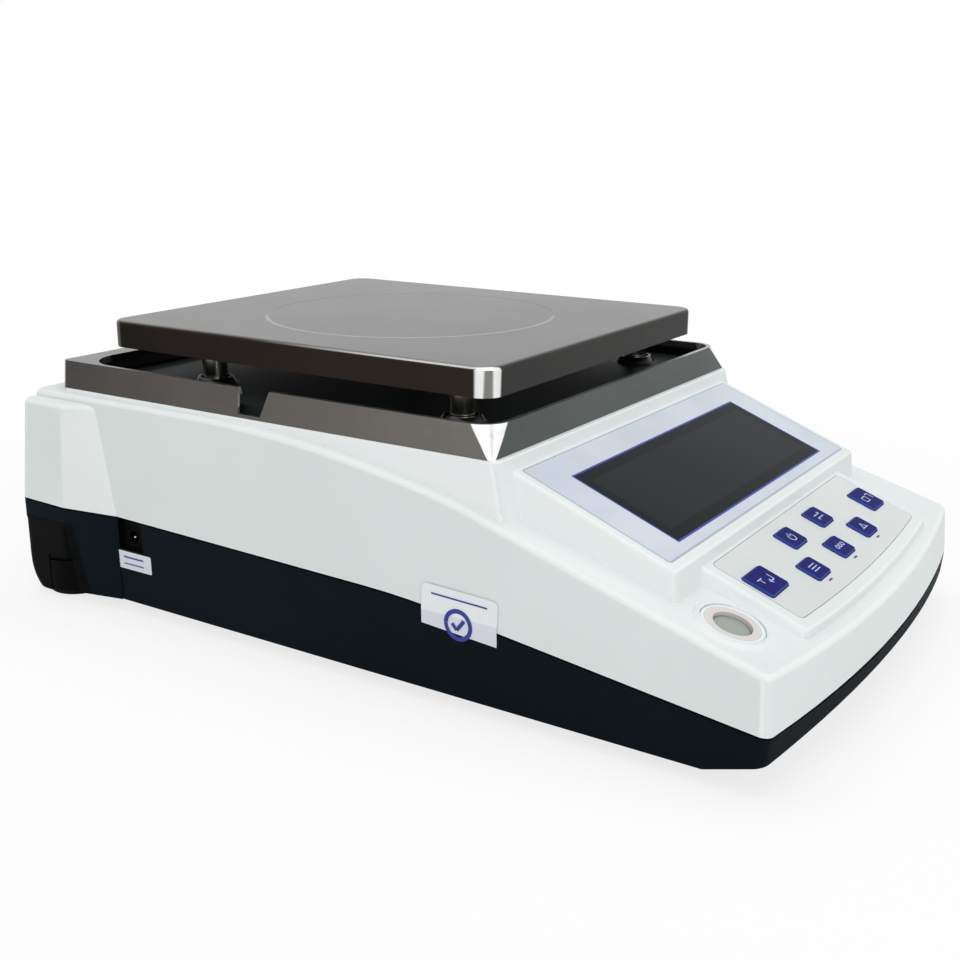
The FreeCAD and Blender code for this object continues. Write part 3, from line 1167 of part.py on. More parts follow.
def dc_jack():
    """Barrel inlet: body behind the recess, nose through its wall, centre pin in the bore."""
    along = Vector(1, 0, 0)
    seat_x = INLET_FACE_X + INLET_WALL

    def round_bar(x, length, radius):
        return Part.makeCylinder(radius, length, Vector(x, INLET_Y, INLET_Z), along)

    half = JACK_BODY / 2.0
    body = box(seat_x, seat_x + JACK_LENGTH, INLET_Y - half, INLET_Y + half, INLET_Z - half, INLET_Z + half)
    sleeve_x = INLET_FACE_X + JACK_MOUTH
    depth = seat_x + JACK_LENGTH - JACK_BACK - sleeve_x
    outside = fuse([round_bar(INLET_FACE_X, INLET_WALL + 1.0, JACK_NOSE_RADIUS), body])
    mouth = round_bar(INLET_FACE_X, JACK_MOUTH, JACK_BORE_RADIUS)
    sleeve = round_bar(sleeve_x, depth, JACK_SLEEVE_RADIUS)
    pin = round_bar(sleeve_x + JACK_PIN_SETBACK, depth, JACK_PIN_RADIUS)
    return fuse([outside.cut(fuse([mouth, sleeve])), pin])


def main_board():
    """Populated main board on the base's bosses."""
    half = MAIN_BOARD_WIDTH / 2.0
    top = MAIN_BOARD_Z + BOARD_THICKNESS
    board = box(-half, half, BOARD_FRONT_Y, BOARD_FRONT_Y + MAIN_BOARD_DEPTH, MAIN_BOARD_Z, top)
    holes = [cylinder(x, y, 0, FAR, SCREW_RADIUS + SCREW_CLEARANCE) for x, y in BOARD_SCREWS]
    board = board.cut(Part.makeCompound(holes))
    parts = [board]
    for x, y, width, depth, height in BOARD_PARTS:
        part = box(-width / 2, width / 2, -depth / 2, depth / 2, top, top + height)
        part.translate(Vector(x, BOARD_MIDDLE_Y + y, 0))
        parts.append(part)
    return fuse(parts)


def levelling_knob(side):
    """Knob with its threaded stud; the underside is recessed over the pad."""
    x = side * FOOT_X
    top = KNOB_LIFT + KNOB_HEIGHT
    knob = cylinder(x, FOOT_Y, KNOB_LIFT, top, KNOB_RADIUS)
    foot = edges_where(knob, lambda e, m: m.z < KNOB_LIFT + 0.01 and len(e.Vertexes) == 1)
    knob = knob.makeChamfer(KNOB_EDGE_BEVEL, foot)
    recess = cylinder(x, FOOT_Y, 0, PAD_HEIGHT + PAD_CLEARANCE, PAD_RADIUS + PAD_CLEARANCE)
    stud = cylinder(x, FOOT_Y, top - 1.0, top + KNOB_GAP + STUD_ENGAGEMENT, STUD_RADIUS)
    return fuse([knob.cut(recess), stud])


def foot_pad(side):
    return cylinder(side * FOOT_X, FOOT_Y, 0, PAD_HEIGHT, PAD_RADIUS)


def front_foot(side):
    foot = cylinder(side * FRONT_FOOT_X, FRONT_FOOT_Y, 0, UNDERSIDE_Z + FRONT_FOOT_SEAT, FRONT_FOOT_RADIUS)
    rim = edges_where(foot, lambda e, m: m.z < 0.01 and len(e.Vertexes) == 1)
    return foot.makeChamfer(FRONT_FOOT_EDGE, rim)


def small_screws(places, seat, head_up, length):
    """Screws of one size; the length may be a number or a rule on the distance y."""
    pieces = []
    for x, y in places:
        reach = length(y) if callable(length) else length
        pieces.append(screw(x, y, seat, head_up, reach, SCREW_RADIUS, SCREW_HEAD_RADIUS, SCREW_HEAD))
    return Part.makeCompound(pieces)


def bolts(places, seat, head_up, length):
    pieces = [screw(x, y, seat, head_up, length, BOLT_RADIUS, BOLT_HEAD_RADIUS, BOLT_HEAD) for x, y in places]
    return Part.makeCompound(pieces)


def main():
    write("upper_housing", upper_housing())
    write("lower_base", lower_base())
    write("tray_frame", tray_frame())
    write("tray_floor", tray_floor())
    write("weighing_pan", pan())
    for name, place in zip(POST_NAMES, POST_PLACES):
        write("pan_post_" + name, pan_post(*place))
        write("post_bush_" + name, post_bush(*place))
    write("pan_carrier", pan_carrier())
    write("load_cell", load_cell())
    write("cell_upper_spacer", cell_spacer(CELL_FRONT_Y, CARRIER_BOLTS, CELL_TOP_Z))
    write("cell_lower_spacer", cell_spacer(CELL_REAR_Y - CELL_BLOCK, CELL_BOLTS, CHASSIS_TOP_Z))
    write("chassis_plate", chassis_plate())
    write("overload_stop", overload_stop())
    write("carrier_bolts", bolts(CARRIER_BOLTS, HUB_TOP_Z, True, HUB_TOP_Z - CELL_TOP_Z + CELL_THREAD))
    chassis_foot = CHASSIS_TOP_Z - CHASSIS_THICKNESS
    write("cell_bolts", bolts(CELL_BOLTS, chassis_foot, False, CELL_SPACER + CHASSIS_THICKNESS + CELL_THREAD))
    write("chassis_screws", small_screws(CHASSIS_SCREWS, CHASSIS_TOP_Z, True, CHASSIS_SCREW_LENGTH))
    head_seat = INNER_FLOOR_Z + 1.0

    def housing_screw_length(y):
        return seam_z(y) + JOIN_Z + SCREW_BITE - 1.0 - head_seat

    write("housing_screws", small_screws(HOUSING_SCREWS, head_seat, False, housing_screw_length))
    write("main_board", main_board())
    board_top = MAIN_BOARD_Z + BOARD_THICKNESS
    write("board_screws", small_screws(BOARD_SCREWS, board_top, True, BOARD_SCREW_LENGTH))
    write("display_overlay", display_overlay())
    write("display_lens", display_lens())
    write("lcd_module", lcd_module())
    write("display_board", display_board())
    write("keypad_panel", keypad_panel())
    for key in KEYS:
        write(key[0], key_cap(key))
    write("keypad_board", keypad_board())
    write("key_domes", key_domes())
    write("level_holder", level_holder())
    write("level_vial", level_vial())
    write("dc_jack", dc_jack())
    for side, name in ((-1, "left"), (1, "right")):
        write("levelling_knob_" + name, levelling_knob(side))
        write("foot_pad_" + name, foot_pad(side))
        write("front_foot_" + name, front_foot(side))


main()
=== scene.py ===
import math

import bmesh
import bpy
from mathutils import Matrix, Vector


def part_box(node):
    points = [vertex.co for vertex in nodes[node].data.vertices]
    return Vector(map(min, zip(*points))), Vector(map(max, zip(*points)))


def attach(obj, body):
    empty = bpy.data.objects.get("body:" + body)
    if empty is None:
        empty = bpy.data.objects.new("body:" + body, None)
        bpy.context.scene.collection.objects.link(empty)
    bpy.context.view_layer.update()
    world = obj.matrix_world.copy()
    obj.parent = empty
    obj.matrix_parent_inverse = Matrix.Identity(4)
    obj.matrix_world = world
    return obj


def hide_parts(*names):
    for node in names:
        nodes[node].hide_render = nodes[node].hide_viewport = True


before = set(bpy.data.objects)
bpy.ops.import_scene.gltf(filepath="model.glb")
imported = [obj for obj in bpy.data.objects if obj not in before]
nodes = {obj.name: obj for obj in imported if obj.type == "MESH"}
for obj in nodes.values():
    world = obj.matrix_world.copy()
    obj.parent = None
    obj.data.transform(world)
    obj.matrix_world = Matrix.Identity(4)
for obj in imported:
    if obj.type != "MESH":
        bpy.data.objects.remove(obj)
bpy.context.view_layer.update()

# Lengths are in metres; MM turns millimetres into them.
MM = 0.001

# Camera, placed as in the photograph; angles in degrees, lens and sensor in millimetres
CAMERA_PLACE = Vector((-0.4617, -0.2923, 0.2120))
CAMERA_AZIMUTH = -56.91
CAMERA_ELEVATION = 16.22
CAMERA_ROLL = 0.14
CAMERA_LENS = 47.76
CAMERA_SENSOR = 36.0

# Floor: half its side, its glow, the glow's share near the object, and where the shadow fades out
FLOOR_HALF = 6.0
FLOOR_GLOW = 1.03
FLOOR_WHITE = 0.75
SHADOW_FADE = (0.25, 0.75)

# Square lamps: place, side and power; each aims at the middle of the object
LIGHT_AIM = (0.0, 0.0, 0.05)
LIGHTS = {"overhead": ((0.1, 0.1, 1.6), 1.6, 10.5), "front_left": ((-1.1, -1.6, 0.9), 1.2, 10.5)}
WORLD_LIGHT = 0.55            # strength of the world for matt surfaces
WORLD_SEEN = 1.0              # and for the camera, reflections and clear pieces

# Slopes and thicknesses of the display wedge, the keypad and the deck, as in the CAD model
WEDGE_SLOPE = 0.394
FILM_THICKNESS = 0.8 * MM
KEYPAD_SLOPE = 0.38
PANEL_THICKNESS = 1.0 * MM
PANEL_LENGTH = 35.73 * MM
KEY_PROUD = 0.9 * MM
DECK_SLOPE = 0.30

# Left wall and split line, as in the CAD model
WALL_X = -110.0 * MM          # at the split line
LEAN_ABOVE = 4.0              # degrees, above the split line
LEAN_BELOW = 1.0
SEAM_BEND_Y = -29.4 * MM
SEAM_BEND_Z = 39.6 * MM
SEAM_REAR_SLOPE = 0.025
SEAM_FRONT_SLOPE = 0.124

POSTS = ["front_left", "front_right", "rear_left", "rear_right"]
KEYS = ["key_tare", "key_power", "key_mode", "key_print", "key_set", "key_count", "key_unit"]


def linear(r, g, b):
    """Colour from display values of 0 to 255."""
    def one(c):
        c = c / 255.0
        return c / 12.92 if c <= 0.04045 else ((c + 0.055) / 1.055) ** 2.4
    return (one(r), one(g), one(b), 1.0)


def box_middle(name):
    """Middle of a CAD node's box."""
    low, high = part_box(name)
    return Vector(((low[0] + high[0]) / 2, (low[1] + high[1]) / 2, (low[2] + high[2]) / 2))


# Shader helpers

def join(tree, source, target):
    tree.links.new(source, target)


def add(tree, kind, inputs=None, **settings):
    """Add a shader node, set its properties, and give its inputs sockets or values."""
    node = tree.nodes.new(kind)
    for key, value in settings.items():
        setattr(node, key, value)
    for key, value in (inputs or {}).items():
        if isinstance(value, bpy.types.NodeSocket):
            join(tree, value, node.inputs[key])
        else:
            node.inputs[key].default_value = value
    return node


def math_node(tree, operation, *values):
    """Math on sockets or numbers; returns the result's socket."""
    return add(tree, "ShaderNodeMath", dict(enumerate(values)), operation=operation).outputs[0]


def vector_node(tree, operation, *values):
    """Vector math on sockets or fixed vectors; returns the node."""
    return add(tree, "ShaderNodeVectorMath", dict(enumerate(values)), operation=operation)


def absolute(tree, value):
    return math_node(tree, "ABSOLUTE", value)


def minus(tree, first, second):
    return math_node(tree, "SUBTRACT", first, second)


def multiply(tree, first, *others):
    for other in others:
        first = math_node(tree, "MULTIPLY", first, other)
    return first


def swing(tree, value, mean, width):
    """Number that swings by width round its mean, as a value of 0 to 1 does."""
    return math_node(tree, "MULTIPLY_ADD", value, width, mean - width / 2)


def between(tree, share, first, second):
    """Number that goes from first to second with a share of 0 to 1."""
    return math_node(tree, "MULTIPLY_ADD", share, second - first, first)


def ramp(tree, value, low, high, kind="SMOOTHSTEP"):
    """Map a value to 0 at low and 1 at high."""
    limits = {"Value": value, "From Min": low, "From Max": high}
    return add(tree, "ShaderNodeMapRange", limits, interpolation_type=kind).outputs["Result"]


def mix_colour(tree, share, first, second):
    return add(tree, "ShaderNodeMix", {0: share, 6: first, 7: second}, data_type="RGBA").outputs[2]


def scale_colour(tree, colour, factor):
    return add(tree, "ShaderNodeVectorMath", {0: colour, "Scale": factor}, operation="SCALE").outputs[0]


def noise(tree, place, scale, detail, roughness):
    inputs = {"Vector": place, "Scale": scale, "Detail": detail, "Roughness": roughness}
    return add(tree, "ShaderNodeTexNoise", inputs).outputs["Fac"]


def coordinates(tree, kind="Object"):
    return add(tree, "ShaderNodeTexCoord").outputs[kind]


def split_coordinates(tree, kind="Object"):
    """The object coordinates or the normal, as x, y and z."""
    return add(tree, "ShaderNodeSeparateXYZ", {0: coordinates(tree, kind)}).outputs


def facing_up_slope(tree, slope):
    """How squarely a face looks out of a sloping deck: 1 on the deck itself."""
    stretch = math.hypot(1.0, slope)
    out = (0.0, -slope / stretch, 1.0 / stretch)
    return vector_node(tree, "DOT_PRODUCT", coordinates(tree, "Normal"), out).outputs["Value"]


def inside_by(tree, half_width, front, rear):
    """How far a point lies inside a rectangle in plan, which is symmetric about x = 0."""
    x, y, _ = split_coordinates(tree)
    side = minus(tree, half_width, absolute(tree, x))
    nearer_end = math_node(tree, "MINIMUM", minus(tree, y, front), minus(tree, rear, y))
    return math_node(tree, "MINIMUM", side, nearer_end)


def new_material(name, colour, roughness, **values):
    """Principled material; other inputs by name, with _ for a space."""
    material = bpy.data.materials.new(name)
    material.use_nodes = True
    tree = material.node_tree
    shader = tree.nodes["Principled BSDF"]
    for key, value in dict(values, Base_Color=colour, Roughness=roughness).items():
        shader.inputs[key.replace("_", " ")].default_value = value
    return material, tree, shader


def drive(shader, **inputs):
    """Link inputs of the shader to sockets."""
    for key, socket in inputs.items():
        join(shader.id_data, socket, shader.inputs[key.replace("_", " ")])


def bump(tree, shader, height, distance, strength=1.0):
    inputs = {"Height": height, "Distance": distance, "Strength": strength}
    drive(shader, Normal=add(tree, "ShaderNodeBump", inputs).outputs[0])


def new_group(name, inputs, outputs):
    group = bpy.data.node_groups.new(name, "ShaderNodeTree")
    for label, kind, value in inputs:
        group.interface.new_socket(label, in_out="INPUT", socket_type=kind).default_value = value
    for label in outputs:
        group.interface.new_socket(label, in_out="OUTPUT", socket_type="NodeSocketFloat")
    return group, group.nodes.new("NodeGroupInput"), group.nodes.new("NodeGroupOutput")


def use_group(tree, group, **values):
    return add(tree, "ShaderNodeGroup", values, node_tree=group)


def make_moulded_grain():
    """Fine spark-eroded grain with a faint uneven tone."""
    group, given, result = new_group(
        "moulded grain", [("Grain", "NodeSocketFloat", 2500.0), ("Tone", "NodeSocketFloat", 14.0)],
        ["Tone", "Height"])
    place = coordinates(group)
    join(group, noise(group, place, given.outputs["Tone"], 4.0, 0.5), result.inputs["Tone"])
    join(group, noise(group, place, given.outputs["Grain"], 3.0, 0.6), result.inputs["Height"])
    return group


def make_brushed_lines():
    """Short lines of a brushed or rolled sheet, and clouds of unequal polish."""
    group, given, result = new_group(
        "brushed lines",
        [("Stretch", "NodeSocketVector", (12.0, 900.0, 900.0)), ("Cloud", "NodeSocketFloat", 18.0)],
        ["Line", "Cloud"])
    place = coordinates(group)
    stretched = vector_node(group, "MULTIPLY", place, given.outputs["Stretch"]).outputs[0]
    join(group, noise(group, stretched, 1.0, 3.0, 0.65), result.inputs["Line"])
    join(group, noise(group, place, given.outputs["Cloud"], 5.0, 0.6), result.inputs["Cloud"])
    return group


def make_round_line():
    """Mask of a thin circle round an upright axis."""
    group, given, result = new_group(
        "round line",
        [("Centre", "NodeSocketVector", (0.0, 0.0, 0.0)), ("Radius", "NodeSocketFloat", 0.05),
         ("Width", "NodeSocketFloat", 0.001)],
        ["Mask"])
    arm = vector_node(group, "SUBTRACT", coordinates(group), given.outputs["Centre"]).outputs[0]
    flat = vector_node(group, "MULTIPLY", arm, (1.0, 1.0, 0.0)).outputs[0]
    length = vector_node(group, "LENGTH", flat).outputs["Value"]
    off = absolute(group, minus(group, length, given.outputs["Radius"]))
    widths_off = math_node(group, "DIVIDE", off, given.outputs["Width"])
    join(group, ramp(group, widths_off, 1.0, 0.0), result.inputs["Mask"])
    return group


GRAIN = make_moulded_grain()
BRUSHED = make_brushed_lines()
ROUND_LINE = make_round_line()


# Plastics

TONE_SPAN = (0.35, 0.65)      # of the noise, over which a surface goes from its darker to its lighter tone
PLASTIC_SWING = 0.14          # of a plastic's roughness


def two_tones(tree, tone, dark, light, span=TONE_SPAN):
    """Colour that wanders between two tones."""
    return mix_colour(tree, ramp(tree, tone, *span), dark, light)


def grained(name, colour, roughness, grain, depth, tone=14.0, **values):
    """Material with the moulded grain; returns the socket of its uneven tone too."""
    material, tree, shader = new_material(name, colour, roughness, **values)
    effect = use_group(tree, GRAIN, Grain=grain, Tone=tone)
    bump(tree, shader, effect.outputs["Height"], depth)
    return material, tree, shader, effect.outputs["Tone"]


def moulded_plastic(name, light, dark, roughness, grain, depth, **values):
    """Grained plastic whose tone and roughness wander a little."""
    material, tree, shader, tone = grained(name, light, roughness, grain, depth, **values)
    drive(shader, Base_Color=two_tones(tree, tone, dark, light),
          Roughness=swing(tree, tone, roughness, PLASTIC_SWING))
    return material


BODY_GRAIN = 2600.0
BODY_GRAIN_DEPTH = 0.02 * MM
FINE_DEPTH = 0.01 * MM
HOUSING_ROUGHNESS = 0.55
# Spans of the normal's parts: a rounding leaves the wall, reaches the top, a side wall, a turned facet
LEAVES_WALL = (0.12, 0.40)
REACHES_TOP = (0.92, 0.75)
SIDE_WALL = (0.85, 0.93)
TURNED_FACET = (0.04, 0.12)
# Plinth and wedge stand inside the leaning outer walls, by the distance from the middle at z = 0
WALL_LEAN = 0.07
RAISED_WALL = (110.6 * MM, 110.0 * MM)
# How much brighter the painted highlights make these places
EDGE_LIGHT = 0.5
FACET_LIGHT = 0.45
RAISED_LIGHT = 0.8
EDGE_POLISH = 0.15            # a rounded edge is this much less rough


def housing_material():
    """Pale grained plastic with painted highlights: the roundings, the swellings' facets and the raised walls
    are brighter.
    """
    pale, lit = linear(231, 237, 236), linear(250, 253, 253)
    material, tree, shader, tone = grained(
        "housing plastic", pale, HOUSING_ROUGHNESS, BODY_GRAIN, BODY_GRAIN_DEPTH, Specular_IOR_Level=0.3)
    x, _, z = split_coordinates(tree)
    across, along, upward = split_coordinates(tree, "Normal")
    # Painted highlights on the roundings, on the swellings' facets and on the side walls of the plinth and
    # the wedge
    edge = multiply(tree, ramp(tree, upward, *LEAVES_WALL), ramp(tree, upward, *REACHES_TOP))
    side = ramp(tree, absolute(tree, across), *SIDE_WALL)
    facet = multiply(tree, ramp(tree, absolute(tree, along), *TURNED_FACET), side, FACET_LIGHT)
    outward = math_node(tree, "MULTIPLY_ADD", z, WALL_LEAN, absolute(tree, x))
    raised = multiply(tree, ramp(tree, outward, *RAISED_WALL), side, RAISED_LIGHT)
    wall = math_node(tree, "MAXIMUM", facet, raised)
    share = math_node(tree, "MAXIMUM", multiply(tree, edge, EDGE_LIGHT), wall)
    shade = two_tones(tree, tone, linear(227, 233, 232), pale)
    drive(shader, Base_Color=mix_colour(tree, share, shade, lit),
          Roughness=between(tree, edge, HOUSING_ROUGHNESS, HOUSING_ROUGHNESS - EDGE_POLISH))
    return material


# Painted shade in the recess of the inlet: half its length, the wall's depth over which it starts, its end,
# and its sill
RECESS_HALF = (7.5 * MM, 7.3 * MM)
RECESS_DEPTH = (-109.75 * MM, -109.55 * MM)
RECESS_END = (-90.0 * MM, -95.0 * MM)
RECESS_SILL = (29.0 * MM, 29.2 * MM)
# Painted shade in the notch over each rear foot: its front edge leans, so its place is that of z = 0
NOTCH_LEAN = 0.22
NOTCH_FRONT = (138.4 * MM, 139.4 * MM)
NOTCH_SIDE = (82.5 * MM, 83.0 * MM)
NOTCH_TOP = (37.2 * MM, 36.8 * MM)
NOTCH_SHADE = 0.85


def base_material():
    """Dark grained plastic with painted shade: near black inside the inlet's recess and in the feet's
    notches.
    """
    dark = linear(11, 22, 28)
    material, tree, shader, tone = grained(
        "base plastic", dark, 0.6, BODY_GRAIN, BODY_GRAIN_DEPTH, Specular_IOR_Level=0.05)
    x, y, z = split_coordinates(tree)
    beside = ramp(tree, absolute(tree, minus(tree, y, box_middle("dc_jack").y)), *RECESS_HALF)
    within = multiply(tree, ramp(tree, x, *RECESS_DEPTH), ramp(tree, x, *RECESS_END))
    recess = multiply(tree, beside, within, ramp(tree, z, *RECESS_SILL))
    rearward = ramp(tree, math_node(tree, "MULTIPLY_ADD", z, -NOTCH_LEAN, y), *NOTCH_FRONT)
    outward = ramp(tree, absolute(tree, x), *NOTCH_SIDE)
    notch = multiply(tree, rearward, outward, ramp(tree, z, *NOTCH_TOP), NOTCH_SHADE)
    shade = two_tones(tree, tone, linear(8, 17, 22), dark)
    # Painted shade: the recess and the notches turn near black
    black = math_node(tree, "MAXIMUM", recess, notch)
    drive(shader, Base_Color=mix_colour(tree, black, shade, linear(1, 2, 2)))
    return material


COLLAR_RADIUS = 7.0 * MM
COLLAR_WIDTH = 4.0 * MM
FLOOR_ROUGHNESS = 0.5
COLLAR_ROUGHNESS = 0.18
FLOOR_SPECULAR = 0.12
COLLAR_SPECULAR = 0.72


def tray_floor_material():
    """Matt moulded floor with glossier collars round the posts."""
    material, tree, shader, tone = grained(
        "tray floor plastic", linear(24, 31, 30), FLOOR_ROUGHNESS, 1800.0, FINE_DEPTH)
    collar = 0.0
    for name in POSTS:
        ring = use_group(tree, ROUND_LINE, Centre=box_middle("pan_post_" + name), Radius=COLLAR_RADIUS,
                         Width=COLLAR_WIDTH)
        collar = math_node(tree, "MAXIMUM", collar, ring.outputs[0])
    shade = two_tones(tree, tone, linear(18, 25, 24), linear(26, 33, 32))
    drive(shader, Base_Color=mix_colour(tree, collar, shade, linear(9, 10, 11)),
          Roughness=between(tree, collar, FLOOR_ROUGHNESS, COLLAR_ROUGHNESS),
          Specular_IOR_Level=between(tree, collar, FLOOR_SPECULAR, COLLAR_SPECULAR))
    return material


INNER_RING_RADIUS = 9.6 * MM
RING_JOINT_RADIUS = 9.4 * MM
RING_JOINT_WIDTH = 0.35 * MM
RING_JOINT_SHARE = 0.6


def level_ring_material():
    """White collar with a faintly pink inner ring and a thin joint between them."""
    low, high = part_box("level_holder")
    radius = (high[0] - low[0]) / 2
    centre = (low[0] + radius, low[1] + radius / math.hypot(1.0, DECK_SLOPE), 0.0)
    material, tree, shader, tone = grained(
        "level ring plastic", linear(220, 214, 213), 0.35, 1200.0, FINE_DEPTH)
    inner = use_group(tree, ROUND_LINE, Centre=centre, Radius=0.0, Width=INNER_RING_RADIUS)
    joint = use_group(tree, ROUND_LINE, Centre=centre, Radius=RING_JOINT_RADIUS, Width=RING_JOINT_WIDTH)
    pink = two_tones(tree, tone, linear(214, 207, 206), linear(222, 216, 215))
    shade = mix_colour(tree, ramp(tree, inner.outputs[0], 0.0, 0.02), linear(232, 238, 238), pink)
    line = multiply(tree, joint.outputs[0], RING_JOINT_SHARE)
    drive(shader, Base_Color=mix_colour(tree, line, shade, linear(150, 152, 154)))
    return material


def key_material():
    """Navy key with a painted highlight on its bevel."""
    navy = linear(9, 15, 106)
    material, tree, shader, tone = grained(
        "key plastic", navy, 0.5, 2200.0, FINE_DEPTH, tone=90.0, Specular_IOR_Level=0.08)
    # Painted highlight: faces that turn away from the keypad's slope are lighter
    bevel = ramp(tree, facing_up_slope(tree, KEYPAD_SLOPE), 0.98, 0.75)
    face = two_tones(tree, tone, linear(6, 11, 96), navy, (0.3, 0.7))
    drive(shader, Base_Color=mix_colour(tree, bevel, face, linear(52, 72, 150)))
    return material


def panel_material():
    """Smooth pale sheet; its cut sides get painted shade, as they lie in the joint round it."""
    pale = linear(218, 222, 221)
    material, tree, shader, tone = grained("panel plastic", pale, 0.42, 2400.0, FINE_DEPTH)
    # Painted shade on the cut sides, which turn away from the panel's face
    cut = ramp(tree, facing_up_slope(tree, KEYPAD_SLOPE), 0.9, 0.6)
    shade = two_tones(tree, tone, linear(212, 217, 216), pale)
    drive(shader, Base_Color=mix_colour(tree, cut, shade, linear(44, 48, 54)))
    return material


PIN_EDGE = (1.3 * MM, 1.2 * MM)


def jack_material():
    """Black inlet body with a bright centre pin."""
    middle = box_middle("dc_jack")
    black = linear(4, 4, 5)
    material, tree, shader = new_material("inlet", black, 0.6, Specular_IOR_Level=0.05)
    _, y, z = split_coordinates(tree)
    up, along = minus(tree, z, middle.z), minus(tree, y, middle.y)
    square = math_node(tree, "ADD", multiply(tree, up, up), multiply(tree, along, along))
    pin = ramp(tree, math_node(tree, "SQRT", square), *PIN_EDGE)
    drive(shader, Base_Color=mix_colour(tree, pin, black, linear(214, 208, 190)), Metallic=pin)
    return material


KNOB_RIBS = 48.0


def knob_material(name):
    """Black foot with faint ribs round it."""
    middle = box_middle(name)
    material, tree, shader = new_material(name + " plastic", linear(3, 4, 4), 0.5, Specular_IOR_Level=0.06)
    x, y, _ = split_coordinates(tree)
    turn = math_node(tree, "ARCTAN2", minus(tree, y, middle.y), minus(tree, x, middle.x))
    bump(tree, shader, math_node(tree, "SINE", multiply(tree, turn, KNOB_RIBS)), 0.03 * MM, 0.5)
    return material


# Metals and boards

# Spans of the normal's parts over which the painted reflection tones change: a front or rear wall, and the
# flat top
FRONT_WALL = (0.35, 0.85)
FLAT_TOP = (0.55, 0.95)
SHEET_SWING = 0.16            # of the sheet's roughness and of its lines' tone
CLOUD_SWING = 0.5


def sheet_steel(name, top, side_wall, end_wall, corner, find_corner_glint, stretch, roughness, depth=0.0):
    """Brushed sheet with painted reflections: flat top, side and end walls and the bright corners have a tone
    each.
    """
    material, tree, shader = new_material(name, top, roughness, Metallic=1.0)
    effect = use_group(tree, BRUSHED, Stretch=stretch)
    x, y, z = split_coordinates(tree, "Normal")
    across, along = absolute(tree, x), absolute(tree, y)
    # Painted reflections: a tone for each way a face turns, and a painted glint on the corners
    wall = mix_colour(tree, ramp(tree, along, *FRONT_WALL), side_wall, end_wall)
    wall = mix_colour(tree, find_corner_glint(tree, multiply(tree, across, along)), wall, corner)
    colour = mix_colour(tree, ramp(tree, z, *FLAT_TOP), wall, top)
    line = swing(tree, effect.outputs["Line"], 1.0, SHEET_SWING)
    cloud = swing(tree, effect.outputs["Cloud"], 1.0, CLOUD_SWING)
    drive(shader, Roughness=swing(tree, effect.outputs["Cloud"], roughness, SHEET_SWING))
    if depth:
        bump(tree, shader, effect.outputs["Line"], depth)
    return material, tree, shader, scale_colour(tree, colour, multiply(tree, line, cloud))


# Product of the normal's x and y where a corner of the pan's painted glint starts and where it is full,
# and where the painted dark reflection in its middle is full and where it starts
PAN_CORNER = (0.10, 0.24)
PAN_CORNER_FOLD = (0.485, 0.43)
FOLD_LIGHT = 0.2              # what the dark reflection leaves
REAR_CORNERS = (60.0 * MM, 100.0 * MM)
REAR_LIGHT = 0.15             # what the rear corners keep


def pan_corner_glint(tree, product):
    """Painted glint on a corner, with a painted dark reflection in its middle; the rear corners keep little
    of it.
    """
    y = split_coordinates(tree)[1]
    fold = between(tree, ramp(tree, product, *PAN_CORNER_FOLD), FOLD_LIGHT, 1.0)
    rear = between(tree, ramp(tree, y, *REAR_CORNERS), 1.0, REAR_LIGHT)
    return multiply(tree, ramp(tree, product, *PAN_CORNER), fold, rear)


PAN_RING_RADIUS = 64.0 * MM
PAN_RING_WIDTH = 1.3 * MM
PAN_RING_TURN = 16.0 * MM     # from the middle to where the groove is fully dark or bright
PAN_RING_FADE = 14.0 * MM     # it is faint this near to the middle
PAN_RING_SHARES = (0.2, 0.9)


def turned_ring(tree, colour):
    """Groove in the pan, drawn with painted light and shade: a painted highlight on the side near the
    camera's place, painted shade on the far side.
    """
    centre = box_middle("weighing_pan")
    azimuth = math.radians(CAMERA_AZIMUTH)
    ring = use_group(tree, ROUND_LINE, Centre=centre, Radius=PAN_RING_RADIUS, Width=PAN_RING_WIDTH)
    x, y, _ = split_coordinates(tree)
    toward = math_node(tree, "ADD", multiply(tree, x, math.sin(azimuth)),
                       multiply(tree, minus(tree, y, centre.y), -math.cos(azimuth)))
    near_side = ramp(tree, toward, -PAN_RING_TURN, PAN_RING_TURN)
    groove = mix_colour(tree, near_side, linear(72, 72, 71), linear(176, 177, 175))
    fade = ramp(tree, absolute(tree, toward), 0.0, PAN_RING_FADE)
    share = multiply(tree, ring.outputs[0], between(tree, fade, *PAN_RING_SHARES))
    return mix_colour(tree, share, colour, groove)


# The pan's upper edge: spans of the normal's z and x, and of y, over which its painted highlight shows
LINE_LOWER = (0.3, 0.5)
LINE_UPPER = (0.82, 0.66)
LINE_SIDE = (0.3, 0.5)
LINE_LENGTH = (70.0 * MM, -20.0 * MM)
LINE_LIGHT = 0.8
# Painted shade: the skirt darkens towards the rear
SKIRT = (0.5, 0.2)
SKIRT_LENGTH = (40.0 * MM, 140.0 * MM)
SKIRT_TONES = (1.06, 0.56)
EDGE_TINT = (0.8, 0.8, 0.8, 1.0)     # how much rolled steel gleams at a low angle


